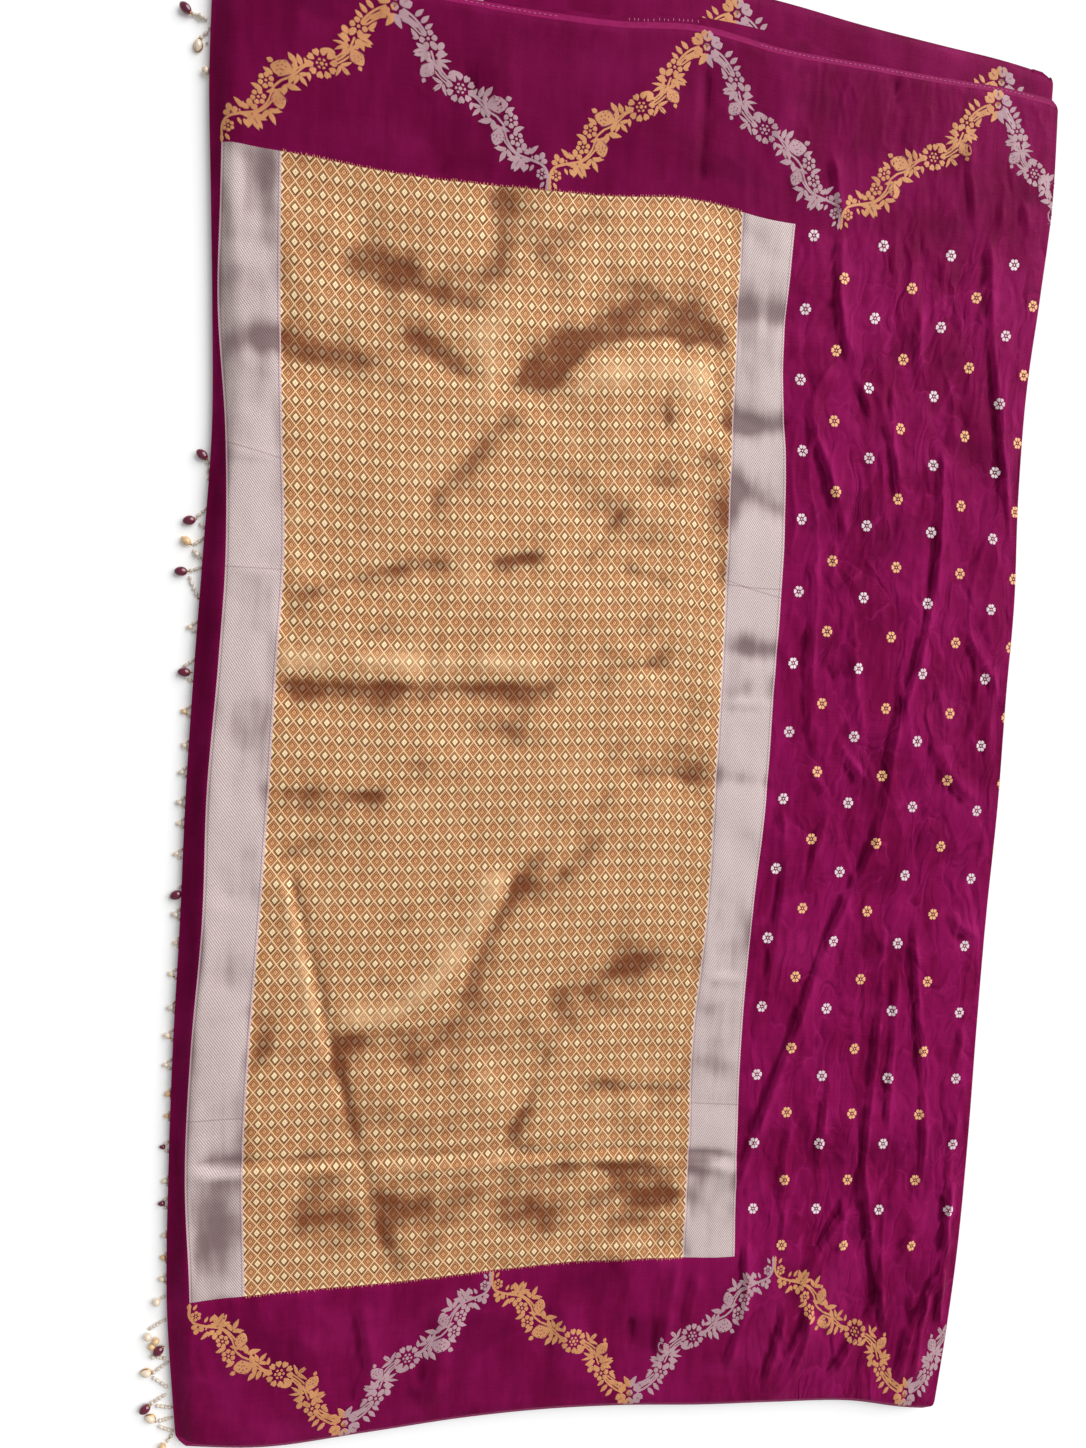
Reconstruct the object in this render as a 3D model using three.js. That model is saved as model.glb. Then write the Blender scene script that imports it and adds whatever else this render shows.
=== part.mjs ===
// A silk brocade saree, folded into eight layers and laid flat with its pallu on top.
//
// Millimetres. While the pieces are made, +X runs along the length of the cloth towards the
// body fold, +Y across its width towards the upper selvedge, and +Z is up from the surface
// that the bundle lies on. Plan positions are counted from a point on the pallu near its
// middle; the last lines move the finished group so that its origin is the middle of its box,
// on the underside.
import * as THREE from 'three';

// ---- Driving dimensions -------------------------------------------------------------------
const CLOTH = 1.2;          // wall of one layer, the silk with the air that it holds
const CLEAR = 0.3;          // clearance between layers and at seams
const PITCH = CLOTH + CLEAR;
const HIDDEN_COUNT = 5;     // layers under the third one, counted from the surface
const SELVEDGE = 5;         // firm woven strip along each long edge
const RETURN_LINE = 384;    // x where the top layer, turned under at the body fold, meets the next
const CORNER = 9;           // rounding of the corners in plan
const FRINGE_HEIGHT = 5;    // depth of the bead fringe where it lies
const FRINGE_TUCK = 24;     // how far the fringe reaches in under the end of the cloth
const END_TUCK = 31;        // the lower layers stop this far inside the loose end
const EDGE_TUCK = 9;        // and this far inside the lower selvedge

const HIDDEN_TOP = HIDDEN_COUNT * PITCH - CLEAR;
const THIRD_LEVEL = HIDDEN_TOP + CLEAR + CLOTH / 2;   // levels are the middle of a wall
const SECOND_LEVEL = THIRD_LEVEL + PITCH;
const TOP_LEVEL = SECOND_LEVEL + PITCH;

const LOOSE_END_DROP = TOP_LEVEL - CLOTH / 2 - FRINGE_HEIGHT - CLEAR;
const LOOSE_END_RUN = 18;   // the loose end slopes down over this length on to its fringe
const LOWER_EDGE_DROP = 3.2;
const LOWER_EDGE_RUN = SELVEDGE;
const UPPER_EDGE_DROP = 2.4;
const UPPER_EDGE_RUN = 9;
const FOLD_FADE = 30;       // folds fade out over this distance from the edges

// ---- Plan of the top layer ----------------------------------------------------------------
// Upright lines, from the loose end to the body fold: x of each at stations across the width.
// end: loose end. bandStart and bandEnd: the silver band beside it. goldEnd: far side of the
// gold field. panelEnd: far side of the second silver band. fold: the body fold.
const uprights = [
  { y: -625, end: -262, bandStart: -257, bandEnd: -217, goldEnd: 144, panelEnd: 191, fold: 396 },
  { y: -540, end: -270, bandStart: -257, bandEnd: -217, goldEnd: 144, panelEnd: 191, fold: 404 },
  { y: -460, end: -276, bandStart: -258, bandEnd: -217, goldEnd: 144, panelEnd: 191, fold: 409 },
  { y: -360, end: -277, bandStart: -264, bandEnd: -221, goldEnd: 144, panelEnd: 189, fold: 411 },
  { y: -260, end: -276, bandStart: -262, bandEnd: -219, goldEnd: 147, panelEnd: 189, fold: 411 },
  { y: -160, end: -273, bandStart: -256, bandEnd: -214, goldEnd: 151, panelEnd: 192, fold: 412 },
  { y: -60, end: -271, bandStart: -255, bandEnd: -210, goldEnd: 148, panelEnd: 194, fold: 415 },
  { y: 40, end: -267, bandStart: -249, bandEnd: -207, goldEnd: 148, panelEnd: 195, fold: 415 },
  { y: 120, end: -263, bandStart: -246, bandEnd: -204, goldEnd: 147, panelEnd: 196, fold: 416 },
  { y: 210, end: -259, bandStart: -249, bandEnd: -208, goldEnd: 146, panelEnd: 194, fold: 412 },
  { y: 300, end: -261, bandStart: -257, bandEnd: -212, goldEnd: 144, panelEnd: 185, fold: 412 },
  { y: 380, end: -264, bandStart: -257, bandEnd: -214, goldEnd: 143, panelEnd: 187, fold: 418 },
  { y: 460, end: -267, bandStart: -257, bandEnd: -215, goldEnd: 142, panelEnd: 190, fold: 423 },
  { y: 550, end: -266, bandStart: -257, bandEnd: -215, goldEnd: 142, panelEnd: 190, fold: 421 },
];

// Level lines across the width: y of each at stations along the length.
// lower and upper: the selvedges of the top layer. lowerLine and upperLine: where the borders
// meet the pallu panel and the body. second and third: upper selvedges of the layers beneath,
// which show above the top one.
const levels = [
  { x: -280, lower: -577, lowerLine: -465, upperLine: 414, upper: 542, second: 534, third: 592 },
  { x: -200, lower: -588, lowerLine: -462, upperLine: 409, upper: 542, second: 534, third: 592 },
  { x: -120, lower: -585, lowerLine: -459, upperLine: 410, upper: 542, second: 536, third: 591 },
  { x: -40, lower: -581, lowerLine: -456, upperLine: 418, upper: 542, second: 545, third: 590 },
  { x: 30, lower: -581, lowerLine: -453, upperLine: 421, upper: 545, second: 550, third: 590 },
  { x: 100, lower: -585, lowerLine: -454, upperLine: 425, upper: 553, second: 560, third: 589 },
  { x: 170, lower: -592, lowerLine: -458, upperLine: 417, upper: 547, second: 558, third: 586 },
  { x: 240, lower: -597, lowerLine: -460, upperLine: 416, upper: 547, second: 549, third: 580 },
  { x: 310, lower: -603, lowerLine: -462, upperLine: 417, upper: 547, second: 538, third: 576 },
  { x: 370, lower: -616, lowerLine: -464, upperLine: 417, upper: 548, second: 538, third: 573 },
  { x: 425, lower: -623, lowerLine: -465, upperLine: 417, upper: 545, second: 536, third: 567 },
];

// Largest folds of the top layer: straight soft ridges and troughs, from one point to another.
// rise is the height at the middle, spread the half width where it has fallen to a third.
const folds = [
  { fromX: -40, fromY: 296, toX: 48, toY: 350, spread: 18, rise: 2.6 },
  { fromX: 48, fromY: 350, toX: 140, toY: 322, spread: 20, rise: 2.8 },
  { fromX: -210, fromY: 300, toX: -70, toY: 280, spread: 20, rise: 2.0 },
  { fromX: -140, fromY: 352, toX: -60, toY: 322, spread: 18, rise: 1.6 },
  { fromX: -80, fromY: 140, toX: 60, toY: 240, spread: 22, rise: 1.4 },
  { fromX: -200, fromY: 40, toX: 10, toY: 38, spread: 18, rise: 1.5 },
  { fromX: 30, fromY: 90, toX: 130, toY: 40, spread: 20, rise: 1.2 },
  { fromX: 10, fromY: -96, toX: -90, toY: -262, spread: 24, rise: 2.6 },
  { fromX: -190, fromY: -130, toX: -110, toY: -430, spread: 20, rise: 1.8 },
  { fromX: 40, fromY: -172, toX: 150, toY: -196, spread: 26, rise: 2.0 },
  { fromX: 228, fromY: 410, toX: 256, toY: 150, spread: 20, rise: 2.8 },
  { fromX: 312, fromY: 300, toX: 322, toY: 70, spread: 18, rise: 1.8 },
  { fromX: 332, fromY: 50, toX: 210, toY: -290, spread: 20, rise: 2.8 },
  { fromX: 345, fromY: 20, toX: 395, toY: -70, spread: 18, rise: 1.6 },
  { fromX: 300, fromY: -200, toX: 300, toY: -430, spread: 18, rise: 2.2 },
  { fromX: 296, fromY: -430, toX: 246, toY: -560, spread: 18, rise: 2.2 },
  { fromX: 388, fromY: -470, toX: 358, toY: -585, spread: 18, rise: 2.2 },
  { fromX: 106, fromY: 530, toX: 104, toY: 430, spread: 18, rise: 1.2 },
];

// How far the bead fringe reaches out past the loose end, at stations across the width.
const fringeReach = [
  { y: -590, reach: 12 }, { y: -545, reach: 19 }, { y: -500, reach: 17 }, { y: -440, reach: 8 },
  { y: -380, reach: 5 }, { y: -200, reach: 5 }, { y: -60, reach: 5 }, { y: 60, reach: 5 },
  { y: 110, reach: 12 }, { y: 150, reach: 12 }, { y: 200, reach: 6 }, { y: 300, reach: 3 },
  { y: 440, reach: 4 }, { y: 480, reach: 9 }, { y: 505, reach: 13 }, { y: 540, reach: 4 },
];

// Edge profile of the hidden layers, from the surface up. Each row is half a layer higher than
// the last. foldEnd and looseEnd: how far the rounded turns stand in at those two ends; cut:
// how far the selvedges stand in along the two long edges.
const hiddenProfile = [
  { foldEnd: 1.2, looseEnd: 5.0, cut: 2.4 },
  { foldEnd: 0.4, looseEnd: 4.6, cut: 2.0 },
  { foldEnd: 0.0, looseEnd: 5.4, cut: 4.4 },
  { foldEnd: 0.4, looseEnd: 2.1, cut: 5.0 },
  { foldEnd: 1.9, looseEnd: 1.6, cut: 4.6 },
  { foldEnd: 2.4, looseEnd: 2.1, cut: 3.0 },
  { foldEnd: 2.0, looseEnd: 3.2, cut: 3.8 },
  { foldEnd: 2.4, looseEnd: 0.5, cut: 6.0 },
  { foldEnd: 3.0, looseEnd: 0.0, cut: 5.8 },
  { foldEnd: 1.2, looseEnd: 0.5, cut: 4.0 },
  { foldEnd: 1.4, looseEnd: 1.2, cut: 4.2 },
];

// ---- Materials ----------------------------------------------------------------------------
const silk = () => new THREE.MeshStandardMaterial({ color: '#861c51', roughness: 0.45, metalness: 0 });
const goldZari = () => new THREE.MeshStandardMaterial({ color: '#c39770', roughness: 0.4, metalness: 0.5 });
const silverZari = () => new THREE.MeshStandardMaterial({ color: '#c0aeb0', roughness: 0.4, metalness: 0.5 });
const selvedgeSilk = () => new THREE.MeshStandardMaterial({ color: '#9c2a62', roughness: 0.5, metalness: 0 });
const beads = () => new THREE.MeshStandardMaterial({ color: '#e6ddd2', roughness: 0.25, metalness: 0 });

// ---- Reading the tables -------------------------------------------------------------------
const smooth = (t) => t * t * (3 - 2 * t);
const clamp01 = (t) => Math.min(1, Math.max(0, t));

// Smooth curve through the rows of a table: the value of one column at a place along another.
function readTable(rows, placeKey, valueKey, place) {
  let k = 0;
  while (k < rows.length - 2 && place > rows[k + 1][placeKey]) k += 1;
  const span = rows[k + 1][placeKey] - rows[k][placeKey];
  const t = clamp01((place - rows[k][placeKey]) / span);
  const slopeAt = (i) => {
    const low = rows[Math.max(0, i - 1)];
    const high = rows[Math.min(rows.length - 1, i + 1)];
    return (high[valueKey] - low[valueKey]) / (high[placeKey] - low[placeKey]);
  };
  const from = rows[k][valueKey];
  const to = rows[k + 1][valueKey];
  const t2 = t * t;
  const t3 = t2 * t;
  return from * (2 * t3 - 3 * t2 + 1) + slopeAt(k) * span * (t3 - 2 * t2 + t)
    + to * (3 * t2 - 2 * t3) + slopeAt(k + 1) * span * (t3 - t2);
}
const upright = (line, y) => readTable(uprights, 'y', line, y);
const level = (line, x) => readTable(levels, 'x', line, x);

// ---- Top layer ----------------------------------------------------------------------------
const UPRIGHT_LINES = ['end', 'bandStart', 'bandEnd', 'goldEnd', 'panelEnd', 'fold'];
const NOSE = PITCH / 2 + CLOTH / 2;   // the body fold's turn reaches this far past its start

// Lines across the width, with the inner side of each selvedge strip.
const levelLines = [
  (x) => level('lower', x),
  (x) => level('lower', x) + SELVEDGE,
  (x) => level('lowerLine', x),
  (x) => level('upperLine', x),
  (x) => level('upper', x) - SELVEDGE,
  (x) => level('upper', x),
];

function uprightAt(across, y) {
  const k = Math.min(UPRIGHT_LINES.length - 2, Math.floor(across));
  const turnStart = (line) => upright(line, y) - (line === 'fold' ? NOSE : 0);
  return THREE.MathUtils.lerp(turnStart(UPRIGHT_LINES[k]), turnStart(UPRIGHT_LINES[k + 1]), across - k);
}

function levelAt(up, x) {
  const k = Math.min(levelLines.length - 2, Math.floor(up));
  return THREE.MathUtils.lerp(levelLines[k](x), levelLines[k + 1](x), up - k);
}

// Plan point where an upright line meets a level line.
function planPoint(across, up) {
  let y = 0;
  let x = 0;
  for (let pass = 0; pass < 5; pass += 1) {
    x = uprightAt(across, y);
    y = levelAt(up, x);
  }
  return [x, y];
}

// Pulls a point near a corner of a quadrilateral inwards, so that the corner is rounded.
function roundCorner(x, y, edges, radius) {
  const inX = radius - Math.min(x - edges.left, edges.right - x);
  const inY = radius - Math.min(y - edges.bottom, edges.top - y);
  if (inX <= 0 || inY <= 0) return [x, y];
  const shrink = Math.max(inX, inY) / Math.hypot(inX, inY);
  const sideX = x - edges.left < edges.right - x ? 1 : -1;
  const sideY = y - edges.bottom < edges.top - y ? 1 : -1;
  return [x + sideX * inX * (1 - shrink), y + sideY * inY * (1 - shrink)];
}

const topEdges = (x, y) => ({
  left: upright('end', y),
  right: upright('fold', y) - NOSE,
  bottom: level('lower', x),
  top: level('upper', x),
});

// Height of a fold at a point, from the distance to its line.
function foldRise(fold, x, y) {
  const alongX = fold.toX - fold.fromX;
  const alongY = fold.toY - fold.fromY;
  const lengthSquared = alongX * alongX + alongY * alongY;
  const t = clamp01(((x - fold.fromX) * alongX + (y - fold.fromY) * alongY) / lengthSquared);
  const distance = Math.hypot(x - fold.fromX - t * alongX, y - fold.fromY - t * alongY);
  return fold.rise * Math.exp(-((distance / fold.spread) ** 2));
}

// How far the top layer hangs down at its loose end and along its lower selvedge.
function edgeDrop(x, y) {
  const edges = topEdges(x, y);
  const fromEnd = clamp01((x - edges.left) / LOOSE_END_RUN);
  const fromLower = clamp01((y - edges.bottom) / LOWER_EDGE_RUN);
  return Math.max(LOOSE_END_DROP * (1 - smooth(fromEnd)), LOWER_EDGE_DROP * (1 - smooth(fromLower)));
}

// Height of the middle of the top layer's wall. The folds fade out towards its edges.
function topHeight(x, y) {
  const edges = topEdges(x, y);
  const nearest = Math.min(x - edges.left, edges.right - x, y - edges.bottom, edges.top - y);
  const lift = Math.max(...folds.map((fold) => foldRise(fold, x, y)));
  return TOP_LEVEL - edgeDrop(x, y) + lift * smooth(clamp01(nearest / FOLD_FADE));
}

// Outer and inner face of the top layer at a plan point.
function topWall(x, y) {
  const [px, py] = roundCorner(x, y, topEdges(x, y), CORNER);
  const z = topHeight(px, py);
  return { outer: [px, py, z + CLOTH / 2], inner: [px, py, z - CLOTH / 2] };
}

// The same past the body fold: a half turn, then a short run back under the layer.
function turnedWall(y, turn) {
  const radius = PITCH / 2;
  const edge = upright('fold', y) - NOSE;
  const [px, py] = roundCorner(edge, y, topEdges(edge, y), CORNER);
  const middle = topHeight(px, py) - radius;
  const at = (reach) => [px + reach * Math.sin(turn), py, middle + reach * Math.cos(turn)];
  return { outer: at(radius + CLOTH / 2), inner: at(radius - CLOTH / 2) };
}

// Where the run back under the layer ends.
function returnedWall(y) {
  const middle = SECOND_LEVEL - edgeDrop(RETURN_LINE, y);
  return {
    outer: [RETURN_LINE, y, middle - CLOTH / 2],
    inner: [RETURN_LINE, y, middle + CLOTH / 2],
  };
}

// ---- Making closed bodies -----------------------------------------------------------------
function bodyFrom(name, points, triangles, material) {
  const geometry = new THREE.BufferGeometry();
  geometry.setAttribute('position', new THREE.Float32BufferAttribute(points.flat(), 3));
  geometry.setIndex(triangles);
  geometry.computeVertexNormals();
  const mesh = new THREE.Mesh(geometry, material);
  mesh.name = name;
  return mesh;
}

// A cloth wall over a grid of places: rows of { outer, inner }, the first row at the lower
// side, each from the loose end towards the fold.
function clothBody(name, rows, material) {
  const rowCount = rows.length;
  const columnCount = rows[0].length;
  const faceSize = rowCount * columnCount;
  const outer = (i, j) => j * columnCount + i;
  const inner = (i, j) => faceSize + outer(i, j);
  const triangles = [];
  const quad = (a, b, c, d) => triangles.push(a, b, c, a, c, d);
  for (let j = 0; j < rowCount - 1; j += 1) {
    for (let i = 0; i < columnCount - 1; i += 1) {
      quad(outer(i, j), outer(i + 1, j), outer(i + 1, j + 1), outer(i, j + 1));
      quad(inner(i, j), inner(i, j + 1), inner(i + 1, j + 1), inner(i + 1, j));
    }
    quad(outer(0, j), outer(0, j + 1), inner(0, j + 1), inner(0, j));
    const last = columnCount - 1;
    quad(inner(last, j), inner(last, j + 1), outer(last, j + 1), outer(last, j));
  }
  for (let i = 0; i < columnCount - 1; i += 1) {
    quad(inner(i, 0), inner(i + 1, 0), outer(i + 1, 0), outer(i, 0));
    const last = rowCount - 1;
    quad(outer(i, last), outer(i + 1, last), inner(i + 1, last), inner(i, last));
  }
  const faces = rows.flat();
  return bodyFrom(name, [...faces.map((p) => p.outer), ...faces.map((p) => p.inner)], triangles, material);
}

// Even steps between two values, ends included.
const steps = (from, to, count) => Array.from({ length: count + 1 }, (_, i) => from + ((to - from) * i) / count);

// ---- The stretches of the top layer -------------------------------------------------------
// Cells between neighbouring upright lines and between neighbouring level lines.
const ACROSS_CELLS = [2, 3, 12, 2, 9];
const UP_CELLS = [2, 5, 28, 5, 1];
const NOSE_CELLS = 3;

const cellsBetween = (from, to, cells) => {
  const places = [from];
  for (let k = from; k < to; k += 1) places.push(...steps(k, k + 1, cells[k]).slice(1));
  return places;
};

// One stretch of the top layer, between two upright lines and two level lines. It stops half a
// clearance short of each line that it shares with a neighbour.
function topStretch(name, material, [fromLine, toLine], [fromLevel, toLevel]) {
  const across = cellsBetween(fromLine, toLine, ACROSS_CELLS);
  const up = cellsBetween(fromLevel, toLevel, UP_CELLS);
  const reachesFold = toLine === UPRIGHT_LINES.length - 1;
  const seam = (place, first, last, outermost) => {
    if (place === first && first > 0) return CLEAR / 2;
    if (place === last && last < outermost) return -CLEAR / 2;
    return 0;
  };
  const rows = up.map((upPlace) => {
    const shiftY = seam(upPlace, fromLevel, toLevel, levelLines.length - 1);
    const row = across.map((acrossPlace) => {
      const [x, y] = planPoint(acrossPlace, upPlace);
      const shiftX = seam(acrossPlace, fromLine, toLine, UPRIGHT_LINES.length - 1);
      return topWall(x + shiftX, y + shiftY);
    });
    if (!reachesFold) return row;
    const y = planPoint(toLine, upPlace)[1] + shiftY;
    const turns = steps(0, Math.PI, NOSE_CELLS).slice(1).map((turn) => turnedWall(y, turn));
    return [...row, ...turns, returnedWall(levelAt(upPlace, RETURN_LINE) + shiftY)];
  });
  return clothBody(name, rows, material);
}

const topLayer = [
  topStretch('end_strip', silk(), [0, 1], [2, 3]),
  topStretch('silver_band_end', silverZari(), [1, 2], [2, 3]),
  topStretch('gold_field', goldZari(), [2, 3], [2, 3]),
  topStretch('silver_band_body', silverZari(), [3, 4], [2, 3]),
  topStretch('body_ground', silk(), [4, 5], [2, 3]),
  topStretch('lower_border', silk(), [0, 5], [1, 2]),
  topStretch('upper_border', silk(), [0, 5], [3, 4]),
  topStretch('lower_selvedge', selvedgeSilk(), [0, 5], [0, 1]),
  topStretch('upper_selvedge', selvedgeSilk(), [0, 5], [4, 5]),
];

// ---- Layers beneath -----------------------------------------------------------------------
// A layer between four sides, finer towards its upper side, which is the side that shows.
const UNDER_ACROSS = steps(0, 1, 16);
const UNDER_UP = [0, 0.25, 0.5, 0.75, 0.9, 0.96, 0.992, 1];

function underLayer(name, middle, sides, edgeDrop) {
  const rows = UNDER_UP.map((up) => UNDER_ACROSS.map((across) => {
    let x = 0;
    let y = 0;
    for (let pass = 0; pass < 5; pass += 1) {
      x = THREE.MathUtils.lerp(sides.left(y), sides.right(y), across);
      y = THREE.MathUtils.lerp(sides.bottom(x), sides.top(x), up);
    }
    const edges = { left: sides.left(y), right: sides.right(y), bottom: sides.bottom(x), top: sides.top(x) };
    const [px, py] = roundCorner(x, y, edges, CORNER);
    const fromTop = clamp01((edges.top - py) / UPPER_EDGE_RUN);
    const z = middle - edgeDrop * (1 - smooth(fromTop));
    return { outer: [px, py, z + CLOTH / 2], inner: [px, py, z - CLOTH / 2] };
  }));
  return clothBody(name, rows, silk());
}

const innerLeft = (y) => upright('end', y) + END_TUCK;
const innerBottom = (x) => level('lower', x) + EDGE_TUCK;

const secondLayer = underLayer('second_layer', SECOND_LEVEL, {
  left: innerLeft,
  right: () => RETURN_LINE - CLEAR,
  bottom: innerBottom,
  top: (x) => level('second', x),
}, 0);

const thirdLayer = underLayer('third_layer', THIRD_LEVEL, {
  left: innerLeft,
  right: (y) => upright('fold', y) - 4,
  bottom: innerBottom,
  top: (x) => level('third', x),
}, UPPER_EDGE_DROP);

// ---- Hidden layers ------------------------------------------------------------------------
// One rounded solid with a flat underside. Its sides are lofted rings, one for each row of the
// profile, so that the turns of the folds and the steps of the selvedges show at its edges.
const RING_SIDE_CELLS = { across: 9, up: 14 };
const HIDDEN_CORNER = 16;

function hiddenRing({ foldEnd, looseEnd, cut }) {
  const sides = {
    left: (y) => innerLeft(y) + looseEnd,
    right: (y) => upright('fold', y) - 3 - foldEnd,
    bottom: (x) => innerBottom(x) + cut,
    top: (x) => level('third', x) - UPPER_EDGE_RUN - cut,
  };
  const place = (across, up) => {
    let x = 0;
    let y = 0;
    for (let pass = 0; pass < 5; pass += 1) {
      x = THREE.MathUtils.lerp(sides.left(y), sides.right(y), across);
      y = THREE.MathUtils.lerp(sides.bottom(x), sides.top(x), up);
    }
    const edges = { left: sides.left(y), right: sides.right(y), bottom: sides.bottom(x), top: sides.top(x) };
    return roundCorner(x, y, edges, HIDDEN_CORNER);
  };
  // Corner cells are small, so that the rounding has points of its own.
  const spaced = (count) => [0, 0.008, ...steps(0, 1, count).slice(1, -1), 0.992];
  const across = spaced(RING_SIDE_CELLS.across);
  const up = spaced(RING_SIDE_CELLS.up);
  return [
    ...across.map((t) => place(t, 0)),
    ...up.map((t) => place(1, t)),
    ...across.map((t) => place(1 - t, 1)),
    ...up.map((t) => place(0, 1 - t)),
  ];
}

function hiddenLayers() {
  const rings = hiddenProfile.map(hiddenRing);
  const count = rings[0].length;
  const topRow = rings.length - 1;
  const points = rings.flatMap((ring, row) => ring.map(([x, y]) => [x, y, (HIDDEN_TOP * row) / topRow]));
  const centre = (row) => [70, -20, (HIDDEN_TOP * row) / topRow];
  points.push(centre(0), centre(topRow));
  const bottomCentre = points.length - 2;
  const topCentre = points.length - 1;
  const triangles = [];
  for (let i = 0; i < count; i += 1) {
    const next = (i + 1) % count;
    for (let row = 0; row < topRow; row += 1) {
      const low = row * count;
      const high = low + count;
      triangles.push(low + i, low + next, high + next, low + i, high + next, high + i);
    }
    triangles.push(bottomCentre, next, i);
    triangles.push(topCentre, topRow * count + i, topRow * count + next);
  }
  return bodyFrom('hidden_layers', points, triangles, silk());
}

// ---- Bead fringe --------------------------------------------------------------------------
// The plain reach of the fringe: a low strip on the surface, under the loose end and out past it.
const FRINGE_STATIONS = steps(-590, 540, 26);

function beadFringe() {
  const section = (y) => {
    const end = upright('end', y);
    const tip = end - readTable(fringeReach, 'y', 'reach', y);
    const tuck = end + FRINGE_TUCK;
    return [
      [tuck, y, 0],
      [tuck, y, FRINGE_HEIGHT],
      [end, y, FRINGE_HEIGHT],
      [tip, y, FRINGE_HEIGHT / 2],
      [tip, y, 0],
    ];
  };
  const sections = FRINGE_STATIONS.map(section);
  const count = sections[0].length;
  const triangles = [];
  for (let s = 0; s < sections.length - 1; s += 1) {
    for (let i = 0; i < count; i += 1) {
      const next = (i + 1) % count;
      const here = s * count;
      const there = here + count;
      triangles.push(here + i, there + next, here + next, here + i, there + i, there + next);
    }
  }
  const last = (sections.length - 1) * count;
  for (let i = 1; i < count - 1; i += 1) {
    triangles.push(0, i, i + 1);
    triangles.push(last, last + i + 1, last + i);
  }
  return bodyFrom('bead_fringe', sections.flat(), triangles, beads());
}

// ---- Assembly -----------------------------------------------------------------------------
const saree = new THREE.Group();
saree.add(...topLayer, secondLayer, thirdLayer, hiddenLayers(), beadFringe());

const box = new THREE.Box3().setFromObject(saree);
const middle = box.getCenter(new THREE.Vector3());
saree.position.set(-middle.x, -middle.y, -box.min.z);

export default saree;
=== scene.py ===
# A silk brocade saree, folded into eight layers and laid flat with its pallu on top.
#
# The charts below are in millimetres, in the plan of the cloth as it lies: x runs along the
# length of the cloth towards the body fold, y across its width towards the upper selvedge, z up
# from the surface. The flat cloth has its own two sizes: s, along its length from the loose end,
# and w, across its width from the lower selvedge. Weaves and motifs are laid out on the flat
# cloth and then draped. Finished pieces are in metres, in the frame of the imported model.
import functools
import math
from collections import namedtuple

import bmesh
import bpy
import numpy as np
from mathutils import Color, Matrix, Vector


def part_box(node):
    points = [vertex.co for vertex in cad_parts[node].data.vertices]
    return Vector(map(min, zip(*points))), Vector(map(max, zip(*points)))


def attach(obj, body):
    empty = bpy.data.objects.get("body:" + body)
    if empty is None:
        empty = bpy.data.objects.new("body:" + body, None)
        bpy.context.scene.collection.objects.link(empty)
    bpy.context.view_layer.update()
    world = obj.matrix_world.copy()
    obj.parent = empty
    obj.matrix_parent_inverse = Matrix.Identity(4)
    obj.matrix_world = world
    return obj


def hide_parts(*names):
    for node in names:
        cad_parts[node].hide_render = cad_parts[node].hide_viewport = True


bl_info = {
    "name": "Folded brocade saree",
    "version": (1, 0, 0),
    "blender": (4, 5, 0),
    "location": "View3D > Sidebar > Saree",
    "description": "Makes a folded silk brocade saree with its borders, motifs and bead fringe",
    "category": "Object",
}

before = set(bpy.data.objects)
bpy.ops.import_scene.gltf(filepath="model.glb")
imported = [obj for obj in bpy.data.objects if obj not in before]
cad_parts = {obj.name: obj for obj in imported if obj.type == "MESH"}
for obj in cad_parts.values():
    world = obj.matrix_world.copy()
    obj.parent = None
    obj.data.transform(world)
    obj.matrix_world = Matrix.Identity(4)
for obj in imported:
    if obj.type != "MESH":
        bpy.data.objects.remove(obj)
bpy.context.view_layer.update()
MM = 0.001
BODY = "root"

# ---- Charts of the top layer ---------------------------------------------------------------
CLOTH = 1.2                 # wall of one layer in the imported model
PITCH = 1.5                 # one layer and the clearance over it
SELVEDGE = 5
RETURN_LINE = 384           # the top layer, turned under at the body fold, ends here
CORNER = 9
END_TUCK = 31               # the lower layers stop this far inside the loose end
EDGE_TUCK = 9               # and this far inside the lower selvedge
HIDDEN_COUNT = 5
HIDDEN_TOP = HIDDEN_COUNT * PITCH - (PITCH - CLOTH)
THIRD_FACE = HIDDEN_TOP + PITCH
SECOND_FACE = THIRD_FACE + PITCH
TOP_FACE = SECOND_FACE + PITCH
NOSE = PITCH / 2 + CLOTH / 2            # radius of the turn at the body fold
LOOSE_END_DROP = 5.2
LOOSE_END_RUN = 18
LOWER_EDGE_DROP = 3.2
LOWER_EDGE_RUN = SELVEDGE
UPPER_EDGE_DROP = 2.4
UPPER_EDGE_RUN = 9

# Places that fix the plan in the frame: the straight right edge of the second layer, and the
# lower end of the bead fringe.
SECOND_RIGHT = RETURN_LINE - (PITCH - CLOTH)
FRINGE_START = -590
SHIFT = np.array([
    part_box("second_layer")[1].x / MM - SECOND_RIGHT,
    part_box("bead_fringe")[0].y / MM - FRINGE_START,
    0.0,
])

# Flat cloth: s of the six upright lines, and w of the six level lines.
FLAT_ACROSS = np.array([0, 14, 56, 414, 462, 690], float)
FLAT_UP = np.array([0, 5, 128, 1004, 1135, 1140], float)


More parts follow.
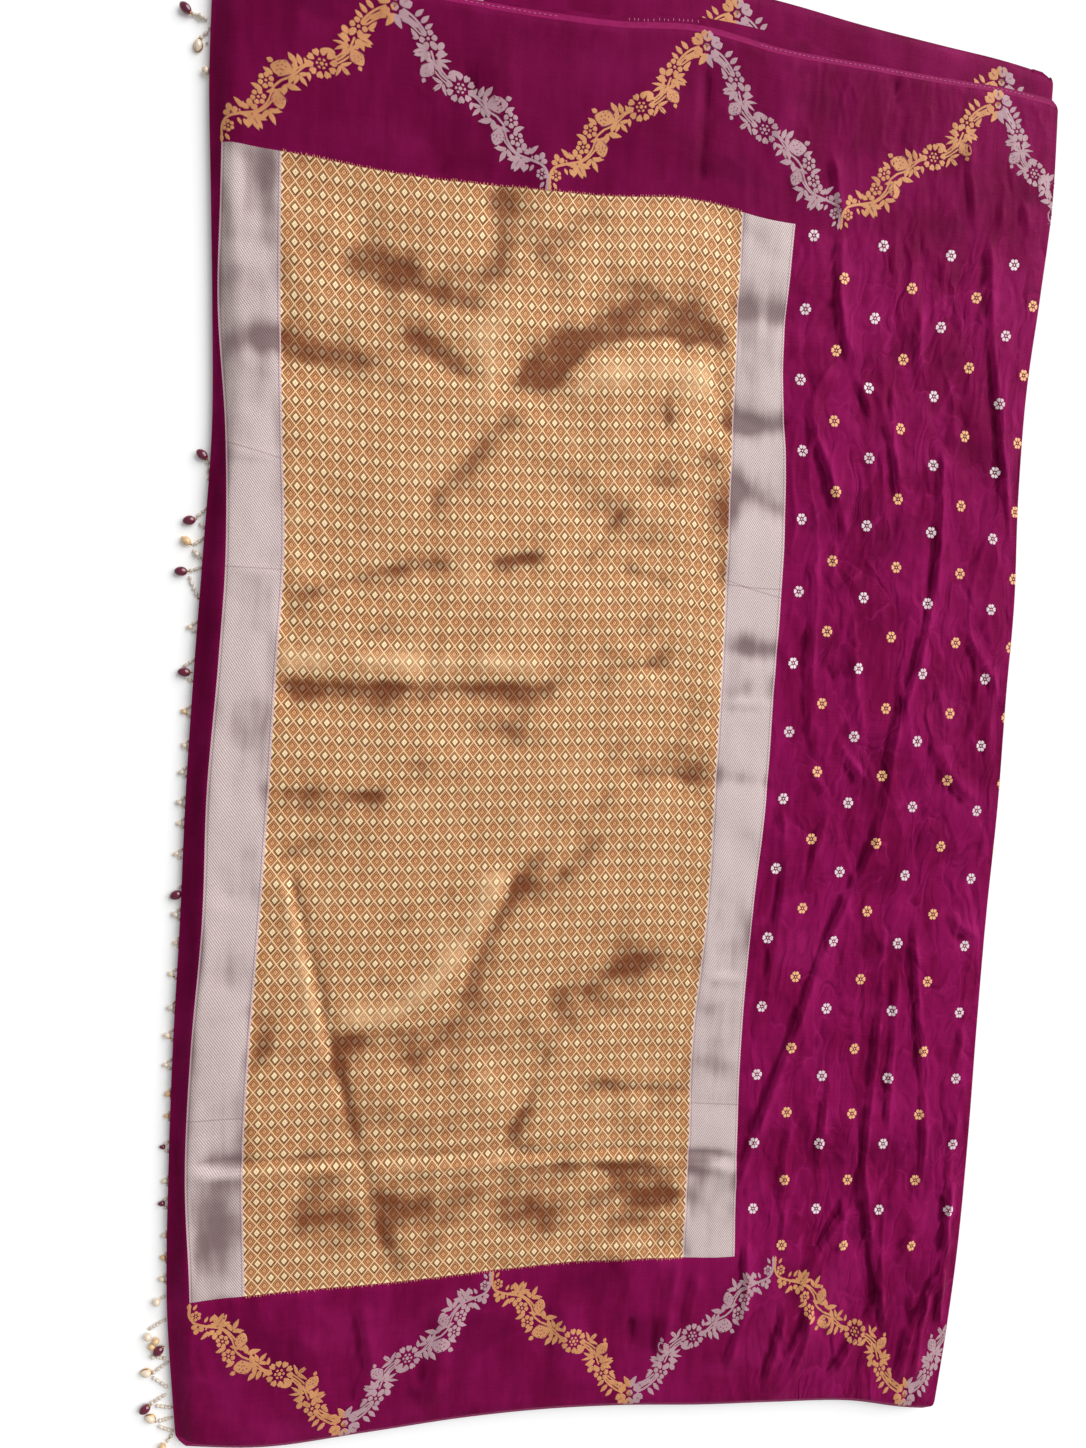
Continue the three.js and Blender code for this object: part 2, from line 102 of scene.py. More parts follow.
class Chart:
    """A table with named columns, read as smooth curves through its rows."""

    def __init__(self, columns, rows):
        data = np.array(rows, float)
        self.place = data[:, 0]
        self.columns = {name: data[:, k] for k, name in enumerate(columns)}

    def read(self, column, place):
        rows = self.place
        value = self.columns[column]
        place = np.asarray(place, float)
        last = len(rows) - 1
        k = np.clip(np.searchsorted(rows, place, side="left") - 1, 0, last - 1)
        index = np.arange(last + 1)
        low = np.maximum(index - 1, 0)
        high = np.minimum(index + 1, last)
        slope = (value[high] - value[low]) / (rows[high] - rows[low])
        span = rows[k + 1] - rows[k]
        t = np.clip((place - rows[k]) / span, 0, 1)
        t2 = t * t
        t3 = t2 * t
        return (
            value[k] * (2 * t3 - 3 * t2 + 1)
            + slope[k] * span * (t3 - 2 * t2 + t)
            + value[k + 1] * (3 * t2 - 2 * t3)
            + slope[k + 1] * span * (t3 - t2)
        )


UPRIGHT_LINES = ("end", "band_start", "band_end", "gold_end", "panel_end", "fold")
uprights = Chart(("y", *UPRIGHT_LINES), [
    (-625, -262, -257, -217, 144, 191, 396),
    (-540, -270, -257, -217, 144, 191, 404),
    (-460, -276, -258, -217, 144, 191, 409),
    (-360, -277, -264, -221, 143, 187, 411),
    (-260, -276, -262, -219, 141, 185, 411),
    (-160, -273, -256, -214, 147, 188, 412),
    (-60, -271, -255, -210, 148, 194, 415),
    (40, -267, -249, -207, 148, 195, 415),
    (120, -263, -246, -204, 147, 196, 416),
    (210, -259, -249, -208, 146, 194, 412),
    (300, -261, -257, -212, 144, 185, 412),
    (380, -264, -257, -214, 143, 187, 418),
    (460, -267, -257, -215, 142, 190, 423),
    (550, -266, -257, -215, 142, 190, 421),
])
levels = Chart(("x", "lower", "lower_line", "upper_line", "upper", "second", "third"), [
    (-280, -577, -461, 415, 542, 534, 592),
    (-200, -588, -457, 411, 542, 534, 592),
    (-120, -585, -456, 407, 542, 536, 591),
    (-40, -581, -453, 410, 542, 545, 590),
    (30, -581, -450, 413, 545, 550, 590),
    (100, -585, -451, 420, 553, 560, 589),
    (170, -592, -455, 413, 547, 558, 586),
    (240, -597, -458, 414, 547, 549, 580),
    (310, -603, -461, 416, 547, 538, 576),
    (370, -616, -464, 417, 548, 538, 573),
    (425, -623, -465, 417, 545, 536, 567),
])

# Creases. Each follows a line, walked so that the side on its left is the soft one. rise: height
# at the line, negative for a trough. soft and steep: how far it reaches on each side. sharp: 2 is
# round, 1 has an edge.
Crease = namedtuple("Crease", "rise soft steep sharp path")


def creases(*rows):
    """Creases from rows of rise, soft, steep, sharp and then the points of the path."""
    return [Crease(*row[:4], row[4:]) for row in rows]


SILK_CREASES = creases(
    # Beside the panel, from the upper border down.
    (2.1, 6.5, 3, 1.5, (229, 417), (232, 350), (246, 305)),
    (1.7, 5.5, 2.5, 1.6, (246, 303), (266, 270), (268, 258)),
    (2.1, 7, 3, 1.5, (233, 312), (213, 280), (217, 250), (243, 190), (252, 155)),
    (1.4, 5.5, 2.5, 1.6, (283, 300), (288, 245), (297, 200)),
    (1.3, 5.5, 3, 1.6, (260, 296), (275, 275), (293, 225), (296, 200)),
    (1.6, 5.5, 3, 1.6, (303, 368), (307, 305)),
    (1.4, 5.5, 3, 1.6, (222, 150), (226, 40), (230, -10)),
    (1.3, 6, 3, 1.6, (262, 110), (270, 20)),
    (1.7, 5.5, 2.5, 1.5, (271, 143), (250, 124), (243, 112)),
    (-1.2, 5, 4, 1.4, (238, 64), (250, 40)),
    (1.4, 4, 4, 1.6, (250, 0), (275, -30), (290, -42)),
    (1.3, 4, 2.5, 1.6, (228, -25), (250, -55)),
    (1.2, 5.5, 3, 1.6, (208, -60), (214, -120), (205, -240)),
    (1.3, 6, 3, 1.6, (252, -60), (232, -140)),
    (1.2, 5.5, 3, 1.6, (236, -330), (232, -380), (236, -440)),
    (1.3, 5.5, 3, 1.6, (268, -300), (262, -400)),
    # Middle: the longest crease, which leans in all the way down, and its branches.
    (2.3, 8.5, 3, 1.4, (333, 250), (337, 150), (327, 70), (309, 0), (300, -80), (258, -180),
        (233, -260), (210, -325), (187, -400)),
    (1.7, 9, 5, 1.8, (335, 30), (355, -20), (397, -65)),
    (1.2, 4, 2.5, 1.6, (305, -69), (325, -57)),
    (1.1, 4, 2.5, 1.6, (311, -160), (312, -235)),
    (2.1, 5, 2.5, 1.4, (312, -235), (310, -310), (305, -418)),
    (1.6, 5, 2.5, 1.6, (327, -200), (327, -360)),
    (1.7, 5.5, 3, 1.6, (300, -415), (275, -440)),
    # Beside the fold, from the upper border down.
    (1.9, 6.5, 3, 1.6, (363, 430), (372, 350), (383, 290), (397, 215), (413, 160)),
    (1.7, 6.5, 3, 1.6, (365, 98), (396, 55), (410, 28)),
    (1.9, 6, 2.5, 1.5, (337, -150), (347, -225), (364, -350), (363, -420)),
    (1.2, 2.5, 2.5, 1.4, (343, -210), (353, -248)),
    (1.4, 5, 2.5, 1.6, (375, -145), (383, -178)),
    (1.7, 5.5, 3, 1.5, (372, -155), (390, -170), (414, -181)),
    (1.7, 5.5, 2.5, 1.5, (385, -255), (394, -265), (388, -300)),
    (1.2, 5.5, 3, 1.6, (398, -330), (392, -380), (396, -430)),
)
BROCADE_CREASES = creases(
    # Upper third: the dark slant, the upright above its end and the long arc to the right.
    (-1.6, 24, 14, 1.5, (-205, 345), (-140, 335), (-80, 320), (-40, 320)),
    (-1.2, 18, 18, 1.5, (-55, 320), (-50, 365), (-55, 430)),
    (-2.1, 11, 16, 1.3, (-235, 280), (-185, 275), (-140, 260)),
    (-1.5, 15, 11, 1.5, (-135, 305), (-90, 275), (-50, 255)),
    (-1.0, 14, 12, 1.5, (40, 310), (75, 320), (125, 310)),
    (-2.3, 22, 14, 1.5, (-60, 250), (-10, 275), (15, 300), (75, 325), (145, 310)),
    (1.4, 12, 20, 1.5, (-10, 240), (25, 270), (90, 285), (145, 275)),
    (1.0, 16, 16, 1.7, (-60, 340), (-60, 295), (-50, 245)),
    (-0.8, 16, 16, 1.6, (-30, 345), (35, 410)),
    (-1.0, 14, 11, 1.6, (-105, 150), (-70, 200), (-25, 250)),
    (-0.6, 5, 7, 1.4, (20, 115), (55, 170), (95, 225)),
    (-0.9, 8, 8, 1.5, (70, 190), (110, 200)),
    (-0.9, 4, 5, 1.4, (85, 285), (90, 230)),
    (-1.1, 18, 16, 1.6, (110, 230), (135, 210), (145, 150)),
    (-0.9, 7, 7, 1.5, (125, 295), (145, 240)),
    # Middle: level troughs, the longest right across the left half.
    (-1.8, 4, 10, 1.2, (-65, 115), (-40, 125), (0, 135)),
    (-1.1, 5, 12, 1.3, (-205, 85), (-120, 115), (-65, 120)),
    (-1.6, 4, 17, 1.2, (-220, 22), (-60, 26), (25, 30)),
    (1.2, 12, 8, 1.5, (-220, 38), (-60, 44), (10, 46)),
    (-0.9, 5, 9, 1.4, (45, 130), (110, 115)),
    (-1.1, 6, 8, 1.4, (55, 45), (110, 55)),
    (-0.8, 10, 10, 1.5, (-150, 50), (-115, 80)),
    (-0.8, 16, 16, 1.6, (-70, 0), (10, -15)),
    (-1.1, 7, 14, 1.3, (-225, -58), (-105, -62)),
    (-1.0, 14, 14, 1.6, (60, -35), (160, -42)),
    # Lower half: the curved hollow with its ridge, and the long slanting line beside it.
    (-1.4, 20, 10, 1.4, (5, -100), (-30, -160), (-60, -235), (-110, -280)),
    (1.5, 9, 16, 1.5, (-20, -105), (-65, -190), (-110, -235), (-165, -240)),
    (-1.1, 6, 22, 1.3, (-170, -255), (-70, -250)),
    (-0.8, 14, 12, 1.4, (85, -60), (15, -130), (-5, -165)),
    (-1.3, 26, 22, 1.6, (130, -190), (70, -205), (5, -250)),
    (-1.5, 6, 3, 1.25, (-195, -115), (-155, -270), (-105, -440)),
    (1.0, 5, 6, 1.4, (-200, -120), (-160, -280)),
    (-0.6, 14, 14, 1.5, (-190, -305), (-165, -280), (-135, -275)),
    (-1.4, 9, 9, 1.3, (-20, -355), (0, -315), (20, -260)),
    (-1.2, 5, 12, 1.3, (30, -295), (145, -305)),
    (1.1, 13, 13, 1.6, (40, -317), (110, -317)),
    (-1.0, 10, 10, 1.5, (90, -350), (125, -305)),
    (-0.8, 24, 24, 1.7, (-125, -275), (-80, -270), (-35, -290)),
    (-0.8, 16, 16, 1.6, (-210, -205), (-215, -295)),
    (-0.8, 14, 14, 1.5, (-215, -115), (-160, -95)),
    # Foot of the panel: wide soft hollows and a sharper level one.
    (-0.6, 44, 40, 1.8, (-205, -405), (-20, -405), (130, -395)),
    (0.6, 9, 9, 1.6, (50, -445), (120, -440)),
    (-0.7, 16, 16, 1.5, (45, -410), (90, -390), (145, -380)),
    (-1.5, 10, 10, 1.5, (15, -367), (175, -374)),
    (-0.9, 13, 13, 1.6, (60, -420), (130, -415)),
    (-1.2, 12, 12, 1.5, (80, -410), (110, -400), (160, -400)),
    (-0.6, 40, 30, 1.8, (-205, -330), (-110, -350)),
    (-1.0, 24, 24, 1.6, (-195, -380), (-130, -400), (-60, -400)),
    (-0.9, 20, 20, 1.6, (-35, -390), (40, -410)),
    # Silver band at the loose end, from the bottom up.
    (-0.9, 64, 54, 1.9, (-270, -410), (-215, -410)),
    (0.6, 22, 22, 1.8, (-270, -257), (-210, -257)),
    (1.0, 9, 14, 1.6, (-275, -143), (-205, -160)),
    (0.5, 44, 40, 1.8, (-270, -77), (-205, -77)),
    (0.8, 32, 30, 1.8, (-270, 48), (-205, 48)),
    (0.7, 40, 40, 1.9, (-270, 150), (-205, 150)),
    (-1.1, 14, 10, 1.6, (-275, 263), (-205, 283)),
    (-0.7, 30, 26, 1.8, (-260, 392), (-205, 392)),
    # Silver band on the body side, from the bottom up.
    (-0.3, 13, 12, 1.6, (125, -280), (210, -297)),
    (0.7, 70, 70, 1.9, (135, -47), (205, -50)),
    (-0.7, 13, 12, 1.6, (130, -37), (220, -46)),
    (-0.7, 10, 10, 1.6, (130, 70), (210, 65)),
    (0.6, 60, 60, 1.9, (140, 150), (205, 147)),
    (-0.6, 12, 10, 1.5, (130, 210), (190, 182), (210, 177)),
    (-1.2, 9, 14, 1.5, (125, 253), (165, 250), (210, 258)),
    (-1.2, 16, 13, 1.6, (120, 342), (210, 338)),
)
# Pressed lines, left by an older fold, right across the pallu.
PRESSED_CREASES = creases(
    (-1.0, 4, 3, 1.5, (-264, -350), (-100, -351), (60, -353), (192, -367)),
    (1.1, 3, 4, 1.5, (-264, -359), (-100, -361), (60, -363), (192, -378)),
    (0.7, 3, 2.5, 1.5, (-250, 192), (-208, 193)),
    (0.7, 3, 2.5, 1.5, (-247, 106), (-204, 107)),
    (0.7, 4, 3, 1.5, (146, 22), (196, 23)),
    (0.8, 4, 3, 1.5, (146, -209), (190, -211)),
)
BORDER_CREASES = creases(
    # Lower border, by the fold: long upright creases that fan out towards the selvedge.
    (2.2, 7, 2.8, 1.5, (305, -370), (320, -455), (340, -540)),
    (2.0, 7, 2.8, 1.5, (395, -400), (392, -505), (397, -545)),
    (1.8, 7, 3, 1.5, (365, -440), (343, -480)),
    (1.8, 8, 3, 1.5, (270, -505), (240, -570), (232, -587)),
    (1.7, 6.8, 3, 1.6, (140, -450), (130, -520), (128, -548)),
    (1.4, 6, 3, 1.6, (160, -460), (150, -518)),
    (1.9, 7.5, 3, 1.6, (200, -440), (203, -500), (188, -563)),
    (2, 6.8, 3, 1.6, (237, -500), (240, -520), (222, -592)),
    (1.9, 7.5, 3, 1.5, (262, -500), (262, -540), (240, -594)),
    (1.9, 8.2, 3, 1.5, (300, -413), (268, -460), (250, -512)),
    (2.0, 8.2, 3, 1.5, (325, -443), (330, -500), (305, -550), (278, -588)),
    (2.5, 9, 3.8, 1.4, (396, -478), (370, -525), (352, -594)),
    (1.4, 5.2, 2.6, 1.6, (365, -498), (363, -522)),
    (1.8, 5.2, 2.6, 1.5, (378, -498), (372, -588)),
    (1.7, 6.8, 3, 1.6, (395, -438), (396, -472)),
    # Lower border, under the panel: broad and flat.
    (-1.4, 6, 6, 1.5, (100, -498), (103, -532)),
    (2.3, 20, 8, 1.7, (-68, -462), (-60, -520), (-74, -576)),
    (2.1, 22, 9, 1.7, (30, -462), (44, -510), (36, -570)),
    (2.0, 20, 9, 1.7, (-176, -470), (-166, -520), (-180, -572)),
    (1.6, 10, 4, 1.6, (-128, -466), (-118, -520), (-124, -574)),
    # Upper border, from the fold to the loose end.
    (1.6, 6.8, 3, 1.6, (392, 463), (400, 428)),
    (1.4, 6.8, 3, 1.6, (375, 473), (372, 428)),
    (1.6, 6.8, 3, 1.6, (335, 508), (350, 428)),
    (-1.4, 8.2, 7.5, 1.6, (270, 548), (270, 510)),
    (2.3, 6, 2.7, 1.4, (216, 476), (229, 416)),
    (1.4, 16, 8, 1.8, (165, 540), (172, 500), (160, 440)),
    (-1.7, 6, 3, 1.3, (106, 530), (106, 426)),
    (1.6, 18, 10, 1.8, (48, 538), (56, 490), (50, 432)),
    (1.5, 24, 16, 1.8, (-70, 528), (-60, 470), (-72, 428)),
    (1.7, 26, 14, 1.8, (-200, 530), (-206, 470), (-196, 425)),
)
CREASES = SILK_CREASES + BROCADE_CREASES + PRESSED_CREASES + BORDER_CREASES

# Small unplanned unevenness of each stretch. across and along: size of one wrinkle; turn: lean
# of the wrinkles in degrees; height: how proud they stand; ridged: thin crests, not round waves.
Ripple = namedtuple("Ripple", "zone across along turn height ridged seed")
RIPPLES = [Ripple(*row) for row in (
    ("body", 34, 190, 3, 1.5, True, 11),
    ("body", 15, 110, -4, 0.55, True, 12),
    ("body", 30, 110, -24, 0.8, True, 13),
    ("body", 26, 90, 34, 0.5, True, 15),
    ("upper", 44, 120, 6, 0.9, False, 21),
    ("upper", 18, 80, -4, 0.8, True, 22),
    ("upper", 8, 50, 3, 0.2, False, 23),
    ("lower", 48, 120, -8, 0.9, False, 31),
    ("lower", 18, 80, 6, 0.7, True, 32),
    ("lower", 8, 50, -3, 0.18, False, 33),
    ("brocade", 64, 110, 62, 1.7, False, 41),
    ("brocade", 30, 62, -30, 0.65, False, 42),
    ("brocade", 14, 30, 20, 0.16, False, 43),
    ("bands", 70, 58, 90, 1.5, False, 51),
    ("bands", 22, 20, 80, 0.2, False, 52),
    ("end", 40, 30, 90, 0.3, False, 61),
)]
BORDER_BLEND = 16           # run over which the unevenness of one stretch becomes the next one's
GOLD_BLEND = 12             # and the same at the ends of the gold field and of the end strip
SWELL = 1.5                 # how far the middle of the top layer is lifted by the air under it
LOWEST_RELIEF = -0.5
RELIEF_FADE = {"left": 24, "right": 14, "bottom": 11, "top": 10}    # it fades in over these runs


def smooth(t):
    """Soft step of a share that runs from 0 to 1."""
    t = np.clip(t, 0, 1)
    return t * t * (3 - 2 * t)


def between_lines(lines, place):
    """Straight run between neighbouring lines: place 2.5 is midway from line 2 to line 3."""
    low = np.clip(np.floor(place), 0, len(lines) - 2).astype(int)
    part = place - low
    lines = [np.broadcast_to(line, low.shape) for line in lines]
    return np.choose(low, lines) * (1 - part) + np.choose(low + 1, lines) * part


def upright_at(across, y):
    """x of an upright line, or of a share between two, at a plan y."""
    lines = [uprights.read(name, y) for name in UPRIGHT_LINES]
    lines[-1] = lines[-1] - NOSE
    return between_lines(lines, across)


def level_at(up, x):
    """y of a level line, or of a share between two, at a plan x."""
    lower = levels.read("lower", x)
    upper = levels.read("upper", x)
    lines = [
        lower,
        lower + SELVEDGE,
        levels.read("lower_line", x),
        levels.read("upper_line", x),
        upper - SELVEDGE,
        upper,
    ]
    return between_lines(lines, up)


def plan_point(across, up):
    """Plan point where an upright line meets a level line, from a few passes of both."""
    y = np.zeros_like(across)
    for _ in range(5):
        x = upright_at(across, y)
        y = level_at(up, x)
    return x, y


def edges_at(x, y):
    """The four edges of the top layer beside each plan point."""
    return {
        "left": uprights.read("end", y),
        "right": uprights.read("fold", y) - NOSE,
        "bottom": levels.read("lower", x),
        "top": levels.read("upper", x),
    }


def round_corner(x, y, edges, radius):
    """Pulls points near a corner inwards, so that the corner is rounded."""
    in_x = radius - np.minimum(x - edges["left"], edges["right"] - x)
    in_y = radius - np.minimum(y - edges["bottom"], edges["top"] - y)
    corner = (in_x > 0) & (in_y > 0)
    reach = np.where(corner, np.hypot(in_x, in_y), 1.0)
    pull = np.where(corner, 1 - np.maximum(in_x, in_y) / reach, 0.0)
    side_x = np.where(x - edges["left"] < edges["right"] - x, 1, -1)
    side_y = np.where(y - edges["bottom"] < edges["top"] - y, 1, -1)
    return x + side_x * in_x * pull, y + side_y * in_y * pull


def edge_drop(x, y):
    """How far the face sinks at the loose end and at the lower selvedge."""
    edges = edges_at(x, y)
    from_end = (x - edges["left"]) / LOOSE_END_RUN
    from_lower = (y - edges["bottom"]) / LOWER_EDGE_RUN
    return np.maximum(
        LOOSE_END_DROP * (1 - smooth(from_end)),
        LOWER_EDGE_DROP * (1 - smooth(from_lower)),
    )


def curve_points(points, step=3.0):
    """Points every few millimetres on the smooth curve through a short list of points."""
    knots = np.array(points, float)
    ends = np.vstack([2 * knots[0] - knots[1], knots, 2 * knots[-1] - knots[-2]])
    parts = []
    for k in range(len(knots) - 1):
        before, start, stop, after = ends[k:k + 4]
        count = max(2, int(np.hypot(*(stop - start)) / step))
        t = np.arange(count)[:, None] / count
        parts.append(0.5 * (
            2 * start
            + (stop - before) * t
            + (2 * before - 5 * start + 4 * stop - after) * t ** 2
            + (3 * start - before - 3 * stop + after) * t ** 3
        ))
    parts.append(knots[-1:])
    return np.vstack(parts)


def run_lengths(line):
    """Length run along a line at each of its points."""
    return np.concatenate([[0], np.cumsum(np.hypot(*np.diff(line, axis=0).T))])


def crease_lift(x, y, crease):
    """Height that one crease adds at plan points. It fades out towards its two ends."""
    path = curve_points(crease.path)
    reach = 2.8 * max(crease.soft, crease.steep)
    low = path.min(axis=0) - reach
    high = path.max(axis=0) + reach
    near = (x > low[0]) & (x < high[0]) & (y > low[1]) & (y < high[1])
    px = x[near]
    py = y[near]
    steps = np.diff(path, axis=0)
    starts = run_lengths(path)
    lengths = np.hypot(*steps.T)
    closest = np.full(px.shape, np.inf)
    signed = np.zeros_like(px)
    along = np.zeros_like(px)
    for k, (step_x, step_y) in enumerate(steps):
        from_x = px - path[k, 0]
        from_y = py - path[k, 1]
        t = np.clip((from_x * step_x + from_y * step_y) / lengths[k] ** 2, 0, 1)
        distance = np.hypot(from_x - t * step_x, from_y - t * step_y)
        closer = distance < closest
        left = step_x * from_y - step_y * from_x > 0
        closest = np.where(closer, distance, closest)
        signed = np.where(closer, np.where(left, distance, -distance), signed)
        along = np.where(closer, starts[k] + t * lengths[k], along)
    whole = starts[-1]
    fade_run = min(0.42 * whole, 12 + 1.2 * max(crease.soft, crease.steep))
    fade = smooth(along / fade_run) * smooth((whole - along) / fade_run)
    uneven = 1 + 0.22 * np.sin(along / 13 + path[0, 0]) + 0.12 * np.sin(along / 5.3 + path[0, 1])
    width = np.where(signed > 0, crease.soft, crease.steep)
    lift = np.zeros_like(x)
    lift[near] = crease.rise * uneven * fade * np.exp(-(closest / width) ** crease.sharp)
    return lift


def lattice_noise(x, y, seed):
    """Smooth seeded unevenness with one swing to a unit, from about -1 to 1."""
    side = 128
    table = np.random.default_rng(seed).uniform(-1, 1, (side, side))
    i = np.floor(x).astype(int)
    j = np.floor(y).astype(int)
    tx = x - i
    ty = y - j
    tx = tx ** 3 * (tx * (6 * tx - 15) + 10)
    ty = ty ** 3 * (ty * (6 * ty - 15) + 10)
    low = table[i % side, j % side] * (1 - tx) + table[(i + 1) % side, j % side] * tx
    high = table[i % side, (j + 1) % side] * (1 - tx) + table[(i + 1) % side, (j + 1) % side] * tx
    return low * (1 - ty) + high * ty


def ripple_lift(x, y, ripple):
    """Height of one kind of small unevenness at plan points."""
    turn = math.radians(ripple.turn)
    across = x * math.cos(turn) + y * math.sin(turn)
    along = y * math.cos(turn) - x * math.sin(turn)
    across = across + 9 * lattice_noise(x / 55, y / 55, ripple.seed + 100)
    noise = lattice_noise(across / ripple.across * 2, along / ripple.along * 2, ripple.seed)
    if ripple.ridged:
        noise = (1 - np.abs(noise)) ** 3 - 0.35
    patch = 0.6 + 0.5 * lattice_noise(x / 90, y / 90, ripple.seed + 200)
    return ripple.height * noise * patch


def past(place, line, run):
    """Soft step from one side of a line to the other, over a run centred on it."""
    return smooth((place - line) / run + 0.5)


def zone_shares(s, w):
    """How far each kind of stretch holds at places on the flat cloth, blended at its lines."""
    lower = past(-w, -FLAT_UP[2], BORDER_BLEND)
    upper = past(w, FLAT_UP[3], BORDER_BLEND)
    panel = (1 - lower) * (1 - upper)
    body = past(s, FLAT_ACROSS[4] + 2, BORDER_BLEND)
    gold = past(s, FLAT_ACROSS[2], GOLD_BLEND) * past(-s, -FLAT_ACROSS[3], GOLD_BLEND)
    end = past(-s, -FLAT_ACROSS[1], GOLD_BLEND)
    return {
        "body": panel * body + 0.45 * (1 - panel) * smooth((s - 470) / 120),
        "brocade": panel * gold,
        "bands": panel * (1 - body) * (1 - gold) * (1 - end),
        "upper": upper,
        "lower": lower,
        "end": panel * end,
    }


def relief(x, y, s, w, crease_strength, ripple_strength):
    """Height of the creases and ripples of the top layer over its plain level."""
    edges = edges_at(x, y)
    lift = SWELL * np.ones_like(x)
    for crease in CREASES:
        lift = lift + crease_strength * crease_lift(x, y, crease)
    shares = zone_shares(s, w)
    for ripple in RIPPLES:
        lift = lift + ripple_strength * shares[ripple.zone] * ripple_lift(x, y, ripple)
    fade = (
        smooth((x - edges["left"]) / RELIEF_FADE["left"])
        * smooth((edges["right"] - x) / RELIEF_FADE["right"])
        * smooth((y - edges["bottom"]) / RELIEF_FADE["bottom"])
        * smooth((edges["top"] - y) / RELIEF_FADE["top"])
    )
    return np.maximum(lift * fade, LOWEST_RELIEF)


class Surface:
    """The face of a stretch of cloth: a grid of points, with its lines on the flat cloth.

    points has a row for each w and a column for each s, in plan millimetres."""

    def __init__(self, points, s, w, crest=None, tilt=None):
        self.points = points
        self.s = s
        self.w = w
        # The last two grids are painted light and shade for each point: by its lift over its surroundings,
        # and by its slope and folds.
        self.crest = np.zeros(points.shape[:2]) if crest is None else crest
        self.tilt = np.zeros(points.shape[:2]) if tilt is None else tilt
        normals = np.cross(np.gradient(points, axis=1), np.gradient(points, axis=0))
        self.normals = normals / np.linalg.norm(normals, axis=2, keepdims=True)

    def s_at(self, x, row=-1):
        """Place along the flat cloth of a plan place along one of its rows."""
        line = self.points[row, :, 0]
        start = int(np.argmin(line))
        stop = int(np.argmax(line)) + 1
        return float(np.interp(x, line[start:stop], self.s[start:stop]))

    def w_at(self, s, y):
        """Place across the flat cloth of a plan place along one of its columns."""
        column = int(np.argmin(np.abs(self.s - s)))
        return float(np.interp(y, self.points[:, column, 1], self.w))

    def drape(self, flat):
        """Plan points of flat-cloth points, each with its height over the face."""
        column = np.interp(flat[:, 0], self.s, np.arange(len(self.s)))
        row = np.interp(flat[:, 1], self.w, np.arange(len(self.w)))
        i = np.clip(np.floor(column).astype(int), 0, len(self.s) - 2)
        j = np.clip(np.floor(row).astype(int), 0, len(self.w) - 2)
        tx = (column - i)[:, None]
        ty = (row - j)[:, None]

        def mix(grid):
            low = grid[j, i] * (1 - tx) + grid[j, i + 1] * tx
            high = grid[j + 1, i] * (1 - tx) + grid[j + 1, i + 1] * tx
            return low * (1 - ty) + high * ty

        return mix(self.points) + mix(self.normals) * flat[:, 2:3]


def line_places(cells):
    """Even places between neighbouring lines, ends included, with that many cells in each."""
    places = [np.arange(count) / count + k for k, count in enumerate(cells)]
    return np.concatenate([*places, [len(cells)]])


def soft_blur(grid, passes):
    """A grid in which each place becomes the mean of its four neighbours, over and over."""
    for _ in range(passes):
        padded = np.pad(grid, 1, mode="edge")
        grid = (padded[1:-1, :-2] + padded[1:-1, 2:] + padded[:-2, 1:-1] + padded[2:, 1:-1]) / 4
    return grid


ACROSS_CELLS = (6, 16, 124, 18, 140)
UP_CELLS = (3, 60, 296, 64, 3)
NOSE_CELLS = 8
RETURN_CELLS = 5
ACROSS_STARTS = np.concatenate([[0], np.cumsum(ACROSS_CELLS)])
UP_STARTS = np.concatenate([[0], np.cumsum(UP_CELLS)])


FOLD_SHARE = 0.78           # width of a fold's painted shade beside the width of the fold itself
FOLD_DEPTH = 1.55           # a fold this deep has the full painted shade
CREST_DEPTH = 0.6           # lift over its surroundings that counts as a full ridge and gets the full painted highlight; as deep a hollow gets the full painted shade
STEEP = 0.15                # slope that gets the full painted light when facing the light, and the full painted shade when facing away
PAINTED_LIGHT_WAY = (0.75, 0.66)     # the way, in plan, that the painted light comes from: slopes facing it are painted lighter


def narrowed(crease, share):
    """The same crease with a smaller reach."""
    return crease._replace(soft=crease.soft * share, steep=crease.steep * share)


